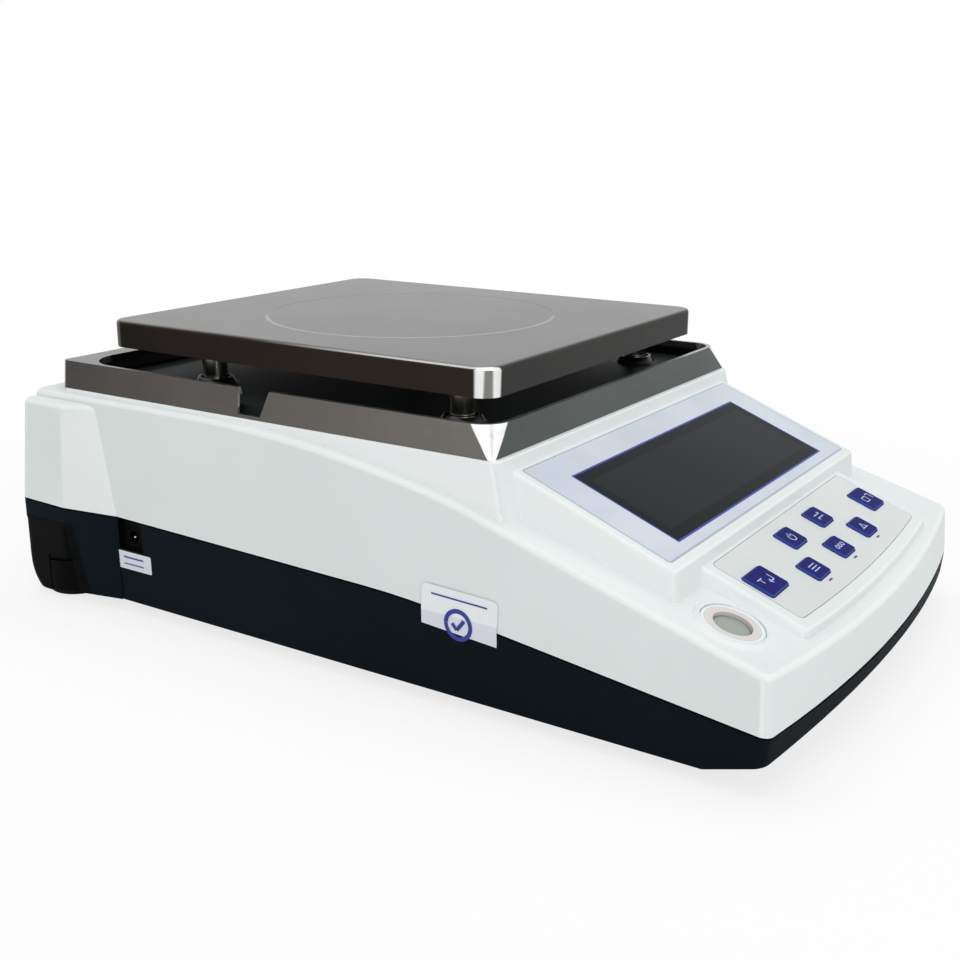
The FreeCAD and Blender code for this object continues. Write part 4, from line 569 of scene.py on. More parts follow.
def pan_material():
    """Rolled steel with a turned ring, a painted highlight along the upper edge and painted shade that
    darkens the skirt towards the rear.
    """
    # Painted reflection tones: the top, the side and end walls, and the corners' glint
    material, tree, shader, colour = sheet_steel(
        "pan steel", linear(115, 116, 114), linear(47, 41, 37), linear(60, 59, 58), linear(238, 238, 236),
        pan_corner_glint, (8.0, 260.0, 260.0), 0.26)
    colour = turned_ring(tree, colour)
    y = split_coordinates(tree)[1]
    across, _, upward = split_coordinates(tree, "Normal")
    skirt = multiply(tree, ramp(tree, y, *SKIRT_LENGTH, kind="LINEAR"), ramp(tree, upward, *SKIRT))
    colour = scale_colour(tree, colour, between(tree, skirt, *SKIRT_TONES))
    # Painted highlight along the upper edge
    bend = multiply(tree, ramp(tree, upward, *LINE_LOWER), ramp(tree, upward, *LINE_UPPER))
    beside = ramp(tree, absolute(tree, across), *LINE_SIDE)
    line = multiply(tree, bend, beside, ramp(tree, y, *LINE_LENGTH), LINE_LIGHT)
    drive(shader, Base_Color=mix_colour(tree, line, colour, linear(225, 225, 223)))
    shader.inputs["Specular Tint"].default_value = EDGE_TINT
    return material


# Product of the normal's x and y over which the tray's corner cones get a painted glint, and over which a
# painted dark reflection shows along their crease
TRAY_CORNER = (0.06, 0.13)
TRAY_CREASE = (0.33, 0.35)
CREASE_SHARE = 0.6
# Painted shade: the walls darken from here towards the rear
TRAY_DARKENS_FROM = 10.0 * MM        # behind the front of the frame
TRAY_TONES = (1.0, 0.38)             # of the walls, in front and at the rear
# Painted highlight on the cut edges at the notches: spans of the normal's y, of y behind the frame's front,
# and of |x|
CUT_FACING = (-0.75, -0.85)
CUT_FROM_FRONT = (30.0 * MM, 31.0 * MM)
CUT_SIDE = (96.6 * MM, 97.2 * MM)


# Painted glint on the corner cones
def tray_corner_glint(tree, product):
    return ramp(tree, product, *TRAY_CORNER)


def tray_material():
    """Folded tray sheet with painted reflections; painted shade darkens its walls towards the rear, and the
    cut edges at the notches get a painted highlight.
    """
    material, tree, shader, colour = sheet_steel(
        "tray steel", linear(152, 157, 154), linear(112, 108, 104), linear(90, 95, 94), linear(250, 250, 250),
        tray_corner_glint, (9.0, 9.0, 900.0), 0.30, 0.02 * MM)
    low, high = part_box("tray_frame")
    x, y, _ = split_coordinates(tree)
    across, along, _ = split_coordinates(tree, "Normal")
    rearward = ramp(tree, y, low[1] + TRAY_DARKENS_FROM, high[1], kind="LINEAR")
    colour = scale_colour(tree, colour, between(tree, rearward, *TRAY_TONES))
    product = multiply(tree, absolute(tree, across), absolute(tree, along))
    crease = multiply(tree, ramp(tree, product, *TRAY_CREASE), CREASE_SHARE)
    colour = mix_colour(tree, crease, colour, linear(96, 99, 102))
    behind = ramp(tree, y, low[1] + CUT_FROM_FRONT[0], low[1] + CUT_FROM_FRONT[1])
    beside = ramp(tree, absolute(tree, x), *CUT_SIDE)
    cut = multiply(tree, ramp(tree, along, *CUT_FACING), behind, beside)
    drive(shader, Base_Color=mix_colour(tree, cut, colour, linear(252, 252, 252)))
    return material


DULL_METAL = 0.72             # the darker tone's share of the lighter one


def plain_metal(name, colour, roughness, stretch=(300.0, 300.0, 900.0)):
    """Turned, cast or plated metal with fine lines."""
    material, tree, shader = new_material(name, colour, roughness, Metallic=1.0)
    effect = use_group(tree, BRUSHED, Stretch=stretch, Cloud=60.0)
    darker = tuple(DULL_METAL * c for c in colour[:3]) + (1.0,)
    cloud = ramp(tree, effect.outputs["Cloud"], 0.3, 0.7)
    drive(shader, Base_Color=mix_colour(tree, cloud, darker, colour))
    bump(tree, shader, effect.outputs["Line"], FINE_DEPTH)
    return material


def brick_colours(tree, shader, scale, mortar_size, first, second, mortar):
    """Cells of two tones with a line between them; returns the lines' mask."""
    cells = add(tree, "ShaderNodeTexBrick", {
        "Vector": coordinates(tree), "Scale": scale, "Mortar Size": mortar_size, "Color1": first,
        "Color2": second, "Mortar": mortar})
    drive(shader, Base_Color=cells.outputs["Color"])
    return cells.outputs["Fac"]


def board_material():
    """Solder mask over copper tracks."""
    mask = linear(22, 88, 50)
    material, tree, shader = new_material("circuit board", mask, 0.35)
    lines = brick_colours(tree, shader, 90.0, 0.05, mask, linear(26, 98, 56), linear(44, 128, 78))
    bump(tree, shader, lines, 0.03 * MM)
    return material


# Display, labels and inks

FILM_LINE = (-0.9 * MM, -0.7 * MM)   # outer edge of the navy line round the window
FILM_RIM = (0.9 * MM, 0.5 * MM)      # greyer border, from the film's edge
FILM_RIM_SHARE = 0.55


def film_material():
    """Printed film: pale field, greyer border, navy line round the window."""
    pale = linear(210, 219, 229)
    material, tree, shader, tone = grained(
        "film", pale, 0.4, 1800.0, 0.008 * MM, tone=30.0, Specular_IOR_Level=0.3)
    low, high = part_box("display_lens")
    window = inside_by(tree, high[0], low[1], high[1] - FILM_THICKNESS * WEDGE_SLOPE)
    low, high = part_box("display_overlay")
    rim = ramp(tree, inside_by(tree, high[0], low[1], high[1]), *FILM_RIM)
    field = two_tones(tree, tone, linear(200, 210, 221), pale, (0.3, 0.7))
    field = mix_colour(tree, multiply(tree, rim, FILM_RIM_SHARE), field, linear(150, 160, 176))
    line = ramp(tree, window, *FILM_LINE)
    drive(shader, Base_Color=mix_colour(tree, line, field, linear(38, 48, 150)))
    return material


def lcd_material():
    """Unlit panel with a faint grid of cells."""
    grey = linear(44, 49, 52)
    material, tree, shader = new_material("lcd", grey, 0.55, Specular_IOR_Level=0.1)
    brick_colours(tree, shader, 120.0, 0.03, grey, linear(46, 51, 54), linear(40, 45, 48))
    return material


WINDOW_BORDER = (4.2 * MM, 5.4 * MM)
WINDOW_ROUGHNESS = 0.12
WINDOW_SWING = 0.06


def window_material():
    """Smoked window: the field of the unlit panel shows as a slightly lighter rectangle."""
    dark = linear(21, 26, 30)
    material, tree, shader = new_material("window glass", dark, WINDOW_ROUGHNESS, Specular_IOR_Level=0.03)
    low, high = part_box("display_lens")
    field = ramp(tree, inside_by(tree, high[0], low[1], high[1]), *WINDOW_BORDER)
    tone = use_group(tree, GRAIN, Tone=25.0).outputs["Tone"]
    glow = mix_colour(tree, tone, linear(29, 34, 38), linear(36, 41, 45))
    drive(shader, Base_Color=mix_colour(tree, field, dark, glow),
          Roughness=swing(tree, tone, WINDOW_ROUGHNESS, WINDOW_SWING))
    return material


def dome_material():
    """Thick, slightly clouded glass over the bubble."""
    pale = linear(172, 180, 173)
    material, tree, shader = new_material("dome glass", pale, 0.25, Specular_IOR_Level=0.4, Alpha=0.86)
    tone = use_group(tree, GRAIN, Tone=60.0).outputs["Tone"]
    drive(shader, Base_Color=mix_colour(tree, tone, linear(156, 165, 158), pale))
    return material


LABEL_SPLIT = (36.4 * MM, 37.2 * MM)


def label_material():
    """Thin coated film: what lies under it darkens the part below the split line."""
    low_tone, high_tone = linear(226, 228, 238), linear(240, 243, 245)
    material, tree, shader, tone = grained("label", low_tone, 0.35, 1500.0, 0.004 * MM, tone=40.0)
    above = ramp(tree, split_coordinates(tree)[2], *LABEL_SPLIT)
    shade = mix_colour(tree, tone, linear(222, 225, 235), low_tone)
    drive(shader, Base_Color=mix_colour(tree, above, shade, high_tone))
    return material


def ink_material(name, colour, roughness=0.4):
    """Printing ink, a little uneven."""
    material, tree, shader = new_material(name, colour, roughness)
    tone = use_group(tree, GRAIN, Tone=400.0).outputs["Tone"]
    lighter = tuple(min(1.0, c * 1.25 + 0.01) for c in colour[:3]) + (1.0,)
    drive(shader, Base_Color=two_tones(tree, tone, colour, lighter, (0.35, 0.75)))
    return material


# Mesh helpers

SHARP_ANGLE = 28.0            # degrees, from which an edge stays sharp
WELD = 0.01 * MM
MERGE = 0.002 * MM
INK = 0.06 * MM               # thickness of a printed mark


def smooth_node(node):
    """Soft shading inside curved faces, sharp along real edges."""
    for polygon in node.data.polygons:
        polygon.use_smooth = True
    node.modifiers.new("weld", "WELD").merge_threshold = WELD
    node.modifiers.new("split", "EDGE_SPLIT").split_angle = math.radians(SHARP_ANGLE)
    node.modifiers.new("normals", "WEIGHTED_NORMAL").keep_sharp = True


def dress(names, material):
    for name in names:
        mesh = nodes[name].data
        mesh.materials.clear()
        mesh.materials.append(material)


def new_object(name, data):
    thing = bpy.data.objects.new(name, data)
    bpy.context.scene.collection.objects.link(thing)
    return thing


def form_object(name, form, material):
    """Turn a bmesh into an object of the scene."""
    mesh = bpy.data.meshes.new(name)
    form.to_mesh(mesh)
    form.free()
    mesh.materials.append(material)
    return new_object(name, mesh)


def finish_piece(name, form, material, place=Matrix.Identity(4), body="housing", smooth=False):
    """Write a bmesh as a piece in world coordinates that rides on a body."""
    bmesh.ops.transform(form, matrix=place, verts=form.verts)
    bmesh.ops.remove_doubles(form, verts=form.verts, dist=MERGE)
    bmesh.ops.recalc_face_normals(form, faces=form.faces)
    for face in form.faces:
        face.smooth = smooth
    piece = form_object(name, form, material)
    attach(piece, body)
    return piece


def slope_frame(origin, slope):
    """Axes of a sloping face: x to the right, y up the slope, z out of it."""
    stretch = math.hypot(1.0, slope)
    up = Vector((0.0, 1.0 / stretch, slope / stretch))
    out = Vector((0.0, -slope / stretch, 1.0 / stretch))
    turn = Matrix((Vector((1.0, 0.0, 0.0)), up, out)).transposed().to_4x4()
    return Matrix.Translation(origin) @ turn


def flat_plate(form, outline, thickness, base=0.0):
    """Plate from a flat outline of (x, y) points, standing on z = base."""
    face = form.faces.new([form.verts.new((x, y, base)) for x, y in outline])
    grown = bmesh.ops.extrude_face_region(form, geom=[face])
    raised = [item for item in grown["geom"] if isinstance(item, bmesh.types.BMVert)]
    bmesh.ops.translate(form, verts=raised, vec=(0.0, 0.0, thickness))


def arc_points(x, y, radius, start, end, steps):
    """Points on an arc; angles in degrees."""
    turns = [math.radians(start + (end - start) * i / steps) for i in range(steps + 1)]
    return [(x + radius * math.cos(turn), y + radius * math.sin(turn)) for turn in turns]


def bar_outline(x0, y0, x1, y1, width):
    """Outline of a straight stroke between two points."""
    run = Vector((x1 - x0, y1 - y0)).normalized()
    across = Vector((-run.y, run.x)) * width / 2
    return [(x0 + across.x, y0 + across.y), (x0 - across.x, y0 - across.y),
            (x1 - across.x, y1 - across.y), (x1 + across.x, y1 + across.y)]


def arc_outline(x, y, radius, width, start, end, steps=20):
    """Outline of a curved stroke; angles in degrees."""
    outer = arc_points(x, y, radius + width / 2, start, end, steps)
    inner = arc_points(x, y, radius - width / 2, end, start, steps)
    return outer + inner


def rounded_outline(x0, x1, y0, y1, radius, steps=6):
    """Outline of a rectangle with round corners."""
    points = []
    for x, y, start in ((x1 - radius, y1 - radius, 0), (x0 + radius, y1 - radius, 90),
                        (x0 + radius, y0 + radius, 180), (x1 - radius, y0 + radius, 270)):
        points += arc_points(x, y, radius, start, start + 90, steps)
    return points


# Printed marks on the keys and the panel

# Strokes of each key's mark in millimetres round the key's middle: a bar has its two ends, an arc its middle,
# its radius and its two angles
BAR = "bar"
ARC = "arc"
KEY_MARKS = {
    "key_tare": [(BAR, -4.6, 1.6, -1.0, 1.6), (BAR, -2.8, 1.6, -2.8, -0.8), (BAR, 4.0, 1.8, 4.0, -1.4),
                 (BAR, 4.0, -1.4, 0.6, -1.4), (BAR, 0.6, -1.4, 1.8, -0.4), (BAR, 0.6, -1.4, 1.8, -2.4)],
    "key_power": [(ARC, 0.0, -0.3, 1.9, 125, 415), (BAR, 0.0, 0.2, 0.0, 2.2)],
    "key_mode": [(BAR, -3.0, 0.9, 2.6, 0.9), (BAR, 2.6, 0.9, 1.6, 1.9), (BAR, 3.0, -0.9, -2.6, -0.9),
                 (BAR, -2.6, -0.9, -1.6, -1.9)],
    "key_print": [(BAR, -3.6, -1.8, -3.6, 1.2), (BAR, -3.6, 1.2, 0.2, 1.2), (BAR, 0.2, 1.2, 0.2, -1.8),
                  (BAR, 0.2, -1.8, -3.6, -1.8), (BAR, 1.6, 1.6, 4.4, 1.6), (BAR, 4.4, 1.6, 4.4, -1.8)],
    "key_set": [(BAR, -2.8, 1.4, 2.8, 1.4), (BAR, -2.8, 0.0, 2.8, 0.0), (BAR, -2.8, -1.4, 2.8, -1.4)],
    "key_count": [(ARC, -2.4, 0.0, 0.9, 0, 359), (ARC, 0.2, 0.0, 0.9, 0, 359), (ARC, 2.8, 0.0, 0.9, 0, 359)],
    "key_unit": [(BAR, -2.6, -1.2, 2.6, -1.2), (BAR, -1.8, -1.2, 0.0, 1.6), (BAR, 1.8, -1.2, 0.0, 1.6)],
}
STROKE = 0.45 * MM
# From the panel's front edge to the middles of the keys, in millimetres
FRONT_KEYS = ["key_set", "key_count", "key_unit"]
KEY_FROM_FRONT = {"key_tare": 18.4, "key_power": 25.6, "key_mode": 25.6, "key_print": 18.8,
                  "key_set": 10.6, "key_count": 10.6, "key_unit": 10.6}
DASH_FROM_FRONT = 3.4 * MM
DASH_HALF_LENGTH = 1.6 * MM
DASH_HALF_WIDTH = 0.4 * MM
DASH_CORNER = 0.2 * MM


def keypad_frame():
    """The panel's face, its origin in the middle of the rear edge."""
    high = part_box("keypad_panel")[1]
    rear = high[1] - PANEL_THICKNESS * KEYPAD_SLOPE / math.hypot(1.0, KEYPAD_SLOPE)
    return slope_frame(Vector((0.0, rear, high[2])), KEYPAD_SLOPE)


def add_stroke(form, x, y, kind, start_x, start_y, *rest):
    """Add a bar or an arc of a mark whose middle is at x and y."""
    start_x, start_y = x + start_x * MM, y + start_y * MM
    if kind == BAR:
        end_x, end_y = rest
        outline = bar_outline(start_x, start_y, x + end_x * MM, y + end_y * MM, STROKE)
    else:
        radius, start, end = rest
        outline = arc_outline(start_x, start_y, radius * MM, STROKE, start, end)
    flat_plate(form, outline, INK)


def make_key_marks(ink):
    place = keypad_frame() @ Matrix.Translation((0.0, 0.0, KEY_PROUD))
    for key in KEYS:
        form = bmesh.new()
        for stroke in KEY_MARKS[key]:
            add_stroke(form, box_middle(key).x, KEY_FROM_FRONT[key] * MM - PANEL_LENGTH, *stroke)
        body = key.replace("key_", "") + "_key"
        finish_piece("mark_of_" + key, form, ink, place, body)


def make_panel_marks(ink):
    """Short navy dashes ahead of the three front keys."""
    form = bmesh.new()
    y = DASH_FROM_FRONT - PANEL_LENGTH
    for key in FRONT_KEYS:
        x = box_middle(key).x
        outline = rounded_outline(x - DASH_HALF_LENGTH, x + DASH_HALF_LENGTH, y - DASH_HALF_WIDTH,
                                  y + DASH_HALF_WIDTH, DASH_CORNER, steps=3)
        flat_plate(form, outline, INK)
    finish_piece("panel_marks", form, ink, keypad_frame())


# Labels on the left side

LABEL_CUTS = 12               # level cuts, at which a label bends
LABEL_THICKNESS = 0.12 * MM
LABEL_OFF = 0.06 * MM         # off the wall
PRINT_THICKNESS = 0.04 * MM
PRINT_OFF = 0.20 * MM
# Front and rear edge, foot and top of each label; rise of its long edges; corner radius; all in millimetres
SEAL_LABEL = (-70.2, -37.6, 27.0, 46.6)
SEAL_RISE = 0.04
SEAL_CORNER = 2.2
INLET_LABEL = (104.4, 126.0, 20.3, 28.4)
INLET_CORNER = 0.7
# Their print in millimetres: front and rear end, height and stroke of each bar; the ring and its tick
SEAL_BARS = [(-66.0, -42.0, 43.4, 0.6)]
INLET_BARS = [(109.0, 121.0, 25.8, 0.7), (109.0, 121.0, 22.8, 0.5)]
RING_Y, RING_Z = -53.9, 34.0
RING_RADIUS = 5.3
RING_STROKE = 1.7
TICK = [(2.6, 0.2), (0.6, -2.0), (-2.6, 2.2)]
TICK_STROKE = 1.5


def side_wall_x(y, z):
    """X of the left wall: it leans in above the split line, and a little below it."""
    slope = SEAM_REAR_SLOPE if y > SEAM_BEND_Y else SEAM_FRONT_SLOPE
    above_seam = z - SEAM_BEND_Z - slope * (y - SEAM_BEND_Y)
    lean = LEAN_ABOVE if above_seam > 0 else LEAN_BELOW
    return WALL_X + abs(above_seam) * math.tan(math.radians(lean))


def make_label_sheet(name, y0, y1, z0, z1, rise, corner, material):
    """Thin sheet that bends over the split line; its long edges rise towards the rear."""
    form = bmesh.new()
    outline = rounded_outline(y0, y1, z0, z1, corner)
    form.faces.new([form.verts.new((0.0, y, z)) for y, z in outline])
    for i in range(1, LABEL_CUTS):
        z = z0 + (z1 - z0) * i / LABEL_CUTS
        everything = form.verts[:] + form.edges[:] + form.faces[:]
        bmesh.ops.bisect_plane(form, geom=everything, plane_co=(0.0, 0.0, z), plane_no=(0.0, 0.0, 1.0))
    bmesh.ops.triangulate(form, faces=form.faces[:])
    for vert in form.verts:
        vert.co.z += rise * (vert.co.y - (y0 + y1) / 2)
        vert.co.x = side_wall_x(vert.co.y, vert.co.z) - LABEL_OFF
    bmesh.ops.recalc_face_normals(form, faces=form.faces)
    bmesh.ops.solidify(form, geom=form.faces[:], thickness=LABEL_THICKNESS)
    finish_piece(name, form, material)


def make_label_print(name, outlines, middle, rise, ink):
    """Flat marks on a label, from outlines of (y, z) points."""
    form = bmesh.new()
    for outline in outlines:
        points = []
        for y, z in outline:
            z += rise * (y - middle)
            points.append(form.verts.new((side_wall_x(y, z) - PRINT_OFF, y, z)))
        form.faces.new(points)
    bmesh.ops.solidify(form, geom=form.faces[:], thickness=PRINT_THICKNESS)
    finish_piece(name, form, ink)


def make_label(name, edges, rise, corner, outlines, paper, ink):
    y0, y1, z0, z1 = [edge * MM for edge in edges]
    make_label_sheet(name, y0, y1, z0, z1, rise, corner * MM, paper)
    make_label_print(name + "_print", outlines, (y0 + y1) / 2, rise, ink)


def level_bars(bars):
    """Outlines of level bars."""
    return [bar_outline(y0 * MM, z * MM, y1 * MM, z * MM, stroke * MM) for y0, y1, z, stroke in bars]


def ring_and_tick():
    """Outlines of the seal's ring and of the two strokes of its tick."""
    outlines = [arc_outline(RING_Y * MM, RING_Z * MM, RING_RADIUS * MM, RING_STROKE * MM, 0, 359, 32)]
    points = [((RING_Y + y) * MM, (RING_Z + z) * MM) for y, z in TICK]
    for start, end in zip(points, points[1:]):
        outlines.append(bar_outline(*start, *end, TICK_STROKE * MM))
    return outlines


def make_labels(paper, ink):
    """Seal label over the split line and the label under the inlet, both with generic print."""
    seal = level_bars(SEAL_BARS) + ring_and_tick()
    make_label("seal_label", SEAL_LABEL, SEAL_RISE, SEAL_CORNER, seal, paper, ink)
    make_label("inlet_label", INLET_LABEL, 0.0, INLET_CORNER, level_bars(INLET_BARS), paper, ink)


# Bubble level and inlet pin

# Rings of the domed glass: share of the radius and rise over the rim in millimetres
DOME_RINGS = [(0.85, 0.22), (0.62, 0.42), (0.35, 0.56), (0.12, 0.60)]
DOME_STEPS = 48
VIAL_HEIGHT = 7.5 * MM
BUBBLE_RADIUS = 2.1 * MM
BUBBLE_SQUASH = 0.35
BUBBLE_DEPTH = 0.9 * MM       # below the rim
CIRCLE_RADIUS = 3.4 * MM
CIRCLE_STROKE = 0.3 * MM
CIRCLE_THICKNESS = 0.08 * MM
CIRCLE_DEPTH = 2.0 * MM
CIRCLE_END = 359.5            # degrees
PIN_TIP_RADIUS = 0.45 * MM
PIN_TIP_DEPTH = 0.5 * MM      # from the inlet's face


def make_dome(turn, radius, rim, glass):
    """Glass of the vial with a domed top, spun round its axis."""
    profile = [(0.0, 0.0), (radius, 0.0), (radius, rim)]
    profile += [(radius * share, rim + rise * MM) for share, rise in DOME_RINGS]
    profile.append((0.0, VIAL_HEIGHT))
    form = bmesh.new()
    points = [form.verts.new((x, 0.0, z)) for x, z in profile]
    edges = [form.edges.new(pair) for pair in zip(points, points[1:])]
    bmesh.ops.spin(form, geom=points + edges, axis=(0.0, 0.0, 1.0), cent=(0.0, 0.0, 0.0), steps=DOME_STEPS,
                   angle=2 * math.pi, use_merge=True)
    dome = finish_piece("level_glass_dome", form, glass, turn, smooth=True)
    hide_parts("level_vial")


def make_bubble(turn, rim, fluid):
    form = bmesh.new()
    squash = Matrix.Diagonal((1.0, 1.0, BUBBLE_SQUASH, 1.0))
    place = Matrix.Translation((0.0, 0.0, rim - BUBBLE_DEPTH)) @ squash
    bmesh.ops.create_uvsphere(form, u_segments=24, v_segments=12, radius=BUBBLE_RADIUS, matrix=place)
    finish_piece("level_bubble", form, fluid, turn, smooth=True)


def make_circle(turn, rim, ink):
    """Printed circle that the bubble is centred in."""
    form = bmesh.new()
    outline = arc_outline(0.0, 0.0, CIRCLE_RADIUS, CIRCLE_STROKE, 0, CIRCLE_END, DOME_STEPS)
    flat_plate(form, outline, CIRCLE_THICKNESS, rim - CIRCLE_DEPTH)
    finish_piece("level_circle", form, ink, turn)


def make_level(glass, fluid, ink):
    """Domed glass, the bubble under it and the printed circle, square to the deck."""
    low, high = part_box("level_vial")
    radius = (high[0] - low[0]) / 2
    stretch = math.hypot(1.0, DECK_SLOPE)
    bottom = Vector((low[0] + radius, high[1] - radius / stretch, low[2] + radius * DECK_SLOPE / stretch))
    turn = slope_frame(bottom, DECK_SLOPE)
    rim = VIAL_HEIGHT - DOME_RINGS[-1][1] * MM
    make_dome(turn, radius, rim, glass)
    make_bubble(turn, rim, fluid)
    make_circle(turn, rim, ink)


def make_pin_tip(material):
    """Rounded end of the inlet's centre pin, near white: a painted glint on the pin."""
    place = box_middle("dc_jack")
    place.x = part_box("dc_jack")[0][0] + PIN_TIP_DEPTH
    form = bmesh.new()
    bmesh.ops.create_uvsphere(form, u_segments=16, v_segments=10, radius=PIN_TIP_RADIUS)
    finish_piece("inlet_pin_tip", form, material, Matrix.Translation(place), smooth=True)


# Black shrouds round the rear columns, and their corner legs beside the knobs, in millimetres
SHROUD_IN, SHROUD_OUT = 84.2, 115.66         # x
SHROUD_FRONT, SHROUD_REAR = 148.6, 179.95    # y
SHROUD_LOW, SHROUD_TOP = 20.4, 36.6          # z
SHROUD_CORNER = 5.5
LEG_LOW = 3.2
LEG_CORNER = 13.0             # the corner's radius at the foot of a leg
LEG_CLEARANCE = 0.15          # round the knob
LEG_LEVELS = 8
LEG_STEPS = 10


def leg_ring(centre, knob, corner, side):
    """Plan of a corner leg: round outside, hollow along the knob."""
    reach_x = SHROUD_OUT * MM - abs(centre.x)
    reach_y = SHROUD_REAR * MM - centre.y
    corner_arc = arc_points(reach_x - corner, reach_y - corner, corner, 0, 90, LEG_STEPS)
    outer = [(reach_x, 0.0)] + corner_arc + [(0.0, reach_y)]
    inner = arc_points(0.0, 0.0, knob, 90, 0, LEG_STEPS + 2)
    return [(centre.x + side * x, centre.y + y) for x, y in outer + inner]


def add_leg(form, knob_name, side):
    """Corner leg, whose outer corner grows rounder towards its foot."""
    low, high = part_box(knob_name)
    knob = (high[0] - low[0]) / 2 + LEG_CLEARANCE * MM
    rings = []
    for i in range(LEG_LEVELS + 1):
        share = i / LEG_LEVELS
        corner = SHROUD_CORNER + (LEG_CORNER - SHROUD_CORNER) * share ** 3
        z = SHROUD_LOW + (LEG_LOW - SHROUD_LOW) * share
        plan = leg_ring(box_middle(knob_name), knob, corner * MM, side)
        rings.append([form.verts.new((x, y, z * MM)) for x, y in plan])
    for upper, lower in zip(rings, rings[1:]):
        for i in range(len(upper)):
            j = (i + 1) % len(upper)
            form.faces.new((upper[i], upper[j], lower[j], lower[i]))
    for ring in (rings[0], rings[-1]):
        for i in range(len(ring) // 2 - 1):
            form.faces.new((ring[i], ring[i + 1], ring[-i - 2], ring[-i - 1]))


def make_foot_shrouds(material):
    """Shroud and corner leg at each rear foot."""
    for side, name in ((-1, "left"), (1, "right")):
        x0, x1 = sorted((side * SHROUD_IN * MM, side * SHROUD_OUT * MM))
        outline = rounded_outline(x0, x1, SHROUD_FRONT * MM, SHROUD_REAR * MM, SHROUD_CORNER * MM)
        form = bmesh.new()
        flat_plate(form, outline, (SHROUD_TOP - SHROUD_LOW) * MM, SHROUD_LOW * MM)
        finish_piece("foot_shroud_" + name, form, material)
        form = bmesh.new()
        add_leg(form, "levelling_knob_" + name, side)
        finish_piece("foot_leg_" + name, form, material)


# Stage

def make_camera():
    data = bpy.data.cameras.new("camera")
    data.lens = CAMERA_LENS
    data.sensor_width = CAMERA_SENSOR
    camera = new_object("camera", data)
    turn = Matrix.Rotation(math.radians(CAMERA_AZIMUTH), 4, "Z")
    turn = turn @ Matrix.Rotation(math.radians(90.0 - CAMERA_ELEVATION), 4, "X")
    turn = turn @ Matrix.Rotation(math.radians(CAMERA_ROLL), 4, "Z")
    camera.matrix_world = Matrix.Translation(CAMERA_PLACE) @ turn
    bpy.context.scene.camera = camera


def floor_material():
    """White floor that keeps the shadow near the object and turns pure white farther out."""
    material, tree, shader = new_material("floor", (0.9, 0.9, 0.9, 1.0), 0.9)
    glow = add(tree, "ShaderNodeEmission", {"Strength": FLOOR_GLOW})
    reach = vector_node(tree, "LENGTH", coordinates(tree)).outputs["Value"]
    share = between(tree, ramp(tree, reach, *SHADOW_FADE), FLOOR_WHITE, 1.0)
    seen = multiply(tree, add(tree, "ShaderNodeLightPath").outputs["Is Camera Ray"], share)
    mix = add(tree, "ShaderNodeMixShader", {0: seen, 1: shader.outputs[0], 2: glow.outputs[0]})
    join(tree, mix.outputs[0], tree.nodes["Material Output"].inputs["Surface"])
    return material


def make_floor():
    form = bmesh.new()
    bmesh.ops.create_grid(form, x_segments=1, y_segments=1, size=FLOOR_HALF)
    floor = form_object("floor", form, floor_material())


def make_light(name, place, side, power):
    data = bpy.data.lights.new(name, "AREA")
    data.shape = "SQUARE"
    data.energy = power
    data.size = side
    lamp = new_object(name, data)
    turn = (Vector(LIGHT_AIM) - Vector(place)).to_track_quat("-Z", "Y").to_matrix().to_4x4()
    lamp.matrix_world = Matrix.Translation(place) @ turn


def make_world():
    """Even white surroundings, dimmer for matt surfaces than for the camera and for reflections."""
    world = bpy.data.worlds.new("studio")
    bpy.context.scene.world = world
    world.use_nodes = True
    tree = world.node_tree
    background = tree.nodes["Background"]
    background.inputs["Color"].default_value = (1.0, 1.0, 1.0, 1.0)
    path = add(tree, "ShaderNodeLightPath")
    seen = math_node(tree, "MAXIMUM", path.outputs["Is Camera Ray"], path.outputs["Is Glossy Ray"])
    seen = math_node(tree, "MAXIMUM", seen, path.outputs["Is Transmission Ray"])
    join(tree, between(tree, seen, WORLD_LIGHT, WORLD_SEEN), background.inputs["Strength"])


def make_stage():
    make_camera()
    make_world()
    make_floor()
    for name, (place, side, power) in LIGHTS.items():
        make_light(name, place, side, power)


# Which piece gets what

RUBBER_GRAIN = 900.0
RUBBER_DEPTH = 0.03 * MM


def rubber_material(name, grey):
    """Matt rubber, from the display value of its grey."""
    light, dark = linear(grey, grey, grey + 1), linear(grey - 6, grey - 6, grey - 5)
    return moulded_plastic(name, light, dark, 0.8, RUBBER_GRAIN, RUBBER_DEPTH)


def dress_shells():
    dress(["upper_housing"], housing_material())
    dress(["lower_base"], base_material())
    dress(["tray_frame"], tray_material())
    dress(["weighing_pan"], pan_material())
    dress(["tray_floor"], tray_floor_material())


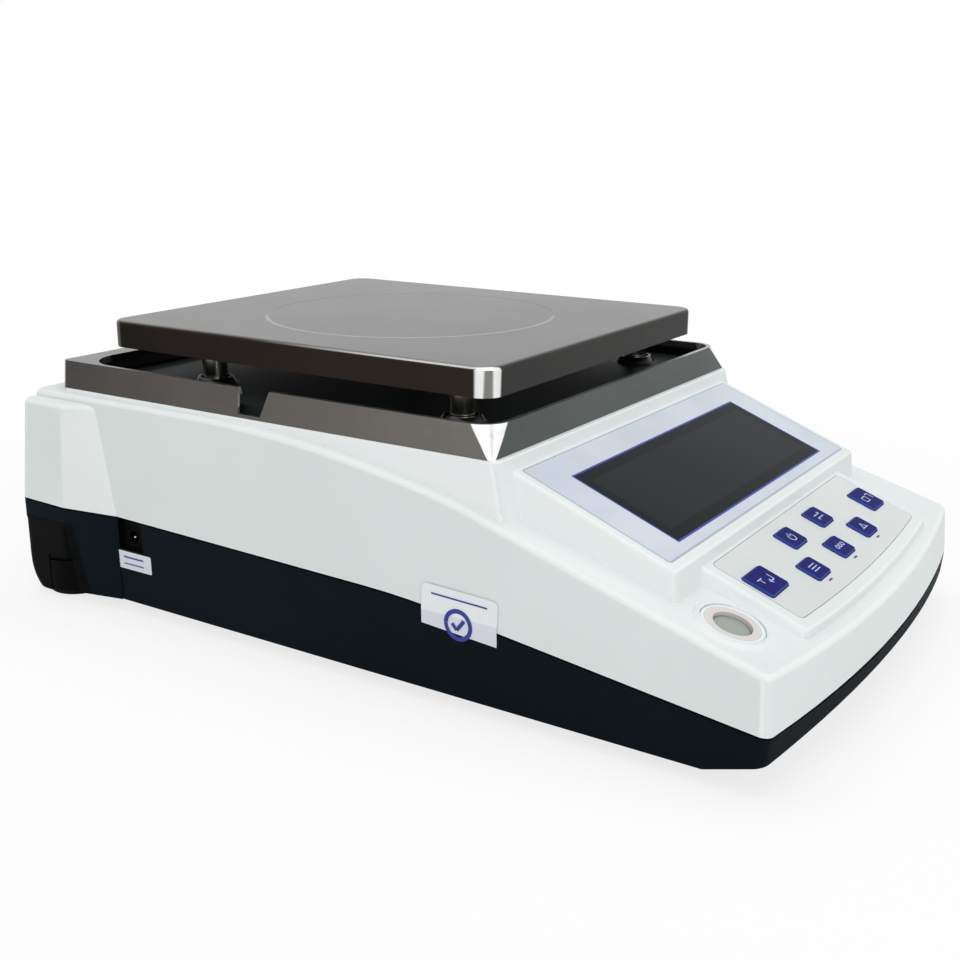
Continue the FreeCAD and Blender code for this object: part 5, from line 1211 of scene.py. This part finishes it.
def dress_controls():
    dress(["display_overlay"], film_material())
    dress(["display_lens"], window_material())
    dress(["lcd_module"], lcd_material())
    dress(["keypad_panel"], panel_material())
    dress(KEYS, key_material())
    dress(["level_holder"], level_ring_material())
    dress(["dc_jack"], jack_material())
    dress(["main_board", "display_board", "keypad_board"], board_material())


def dress_mechanism():
    cast = plain_metal("cast aluminium", linear(196, 198, 200), 0.5)
    milled = plain_metal("milled aluminium", linear(212, 214, 218), 0.35, (900.0, 20.0, 900.0))
    plated = plain_metal("plated steel", linear(176, 178, 182), 0.35)
    turned = plain_metal("post steel", linear(176, 170, 164), 0.18)
    dress(["pan_carrier", "cell_upper_spacer", "cell_lower_spacer"], cast)
    dress(["load_cell"], milled)
    dress(["chassis_plate", "overload_stop", "carrier_bolts", "cell_bolts", "chassis_screws",
           "housing_screws", "board_screws", "key_domes"], plated)
    dress(["pan_post_" + name for name in POSTS], turned)
    dress(["post_bush_" + name for name in POSTS], rubber_material("bush rubber", 30))


def dress_feet():
    rubber = rubber_material("foot rubber", 26)
    for side in ("left", "right"):
        dress(["levelling_knob_" + side], knob_material("levelling_knob_" + side))
        dress(["foot_pad_" + side, "front_foot_" + side], rubber)


def make_details():
    navy_ink = ink_material("navy ink", linear(30, 42, 140))
    pale_ink = ink_material("pale ink", linear(176, 190, 226))
    fluid = ink_material("bubble", linear(226, 232, 214), 0.15)
    # Near-white ink for the pin tip: a painted glint
    bright = ink_material("bright pin", linear(235, 235, 225), 0.2)
    black = moulded_plastic("shroud plastic", linear(3, 4, 4), linear(2, 3, 3), 0.55, BODY_GRAIN, FINE_DEPTH,
                            Specular_IOR_Level=0.05)
    make_key_marks(pale_ink)
    make_panel_marks(navy_ink)
    make_labels(label_material(), navy_ink)
    make_pin_tip(bright)
    make_foot_shrouds(black)
    make_level(dome_material(), fluid, navy_ink)


make_stage()
for cad_node in nodes.values():
    smooth_node(cad_node)
dress_shells()
dress_controls()
dress_mechanism()
dress_feet()
make_details()

bpy.context.scene.view_settings.view_transform = "Standard"
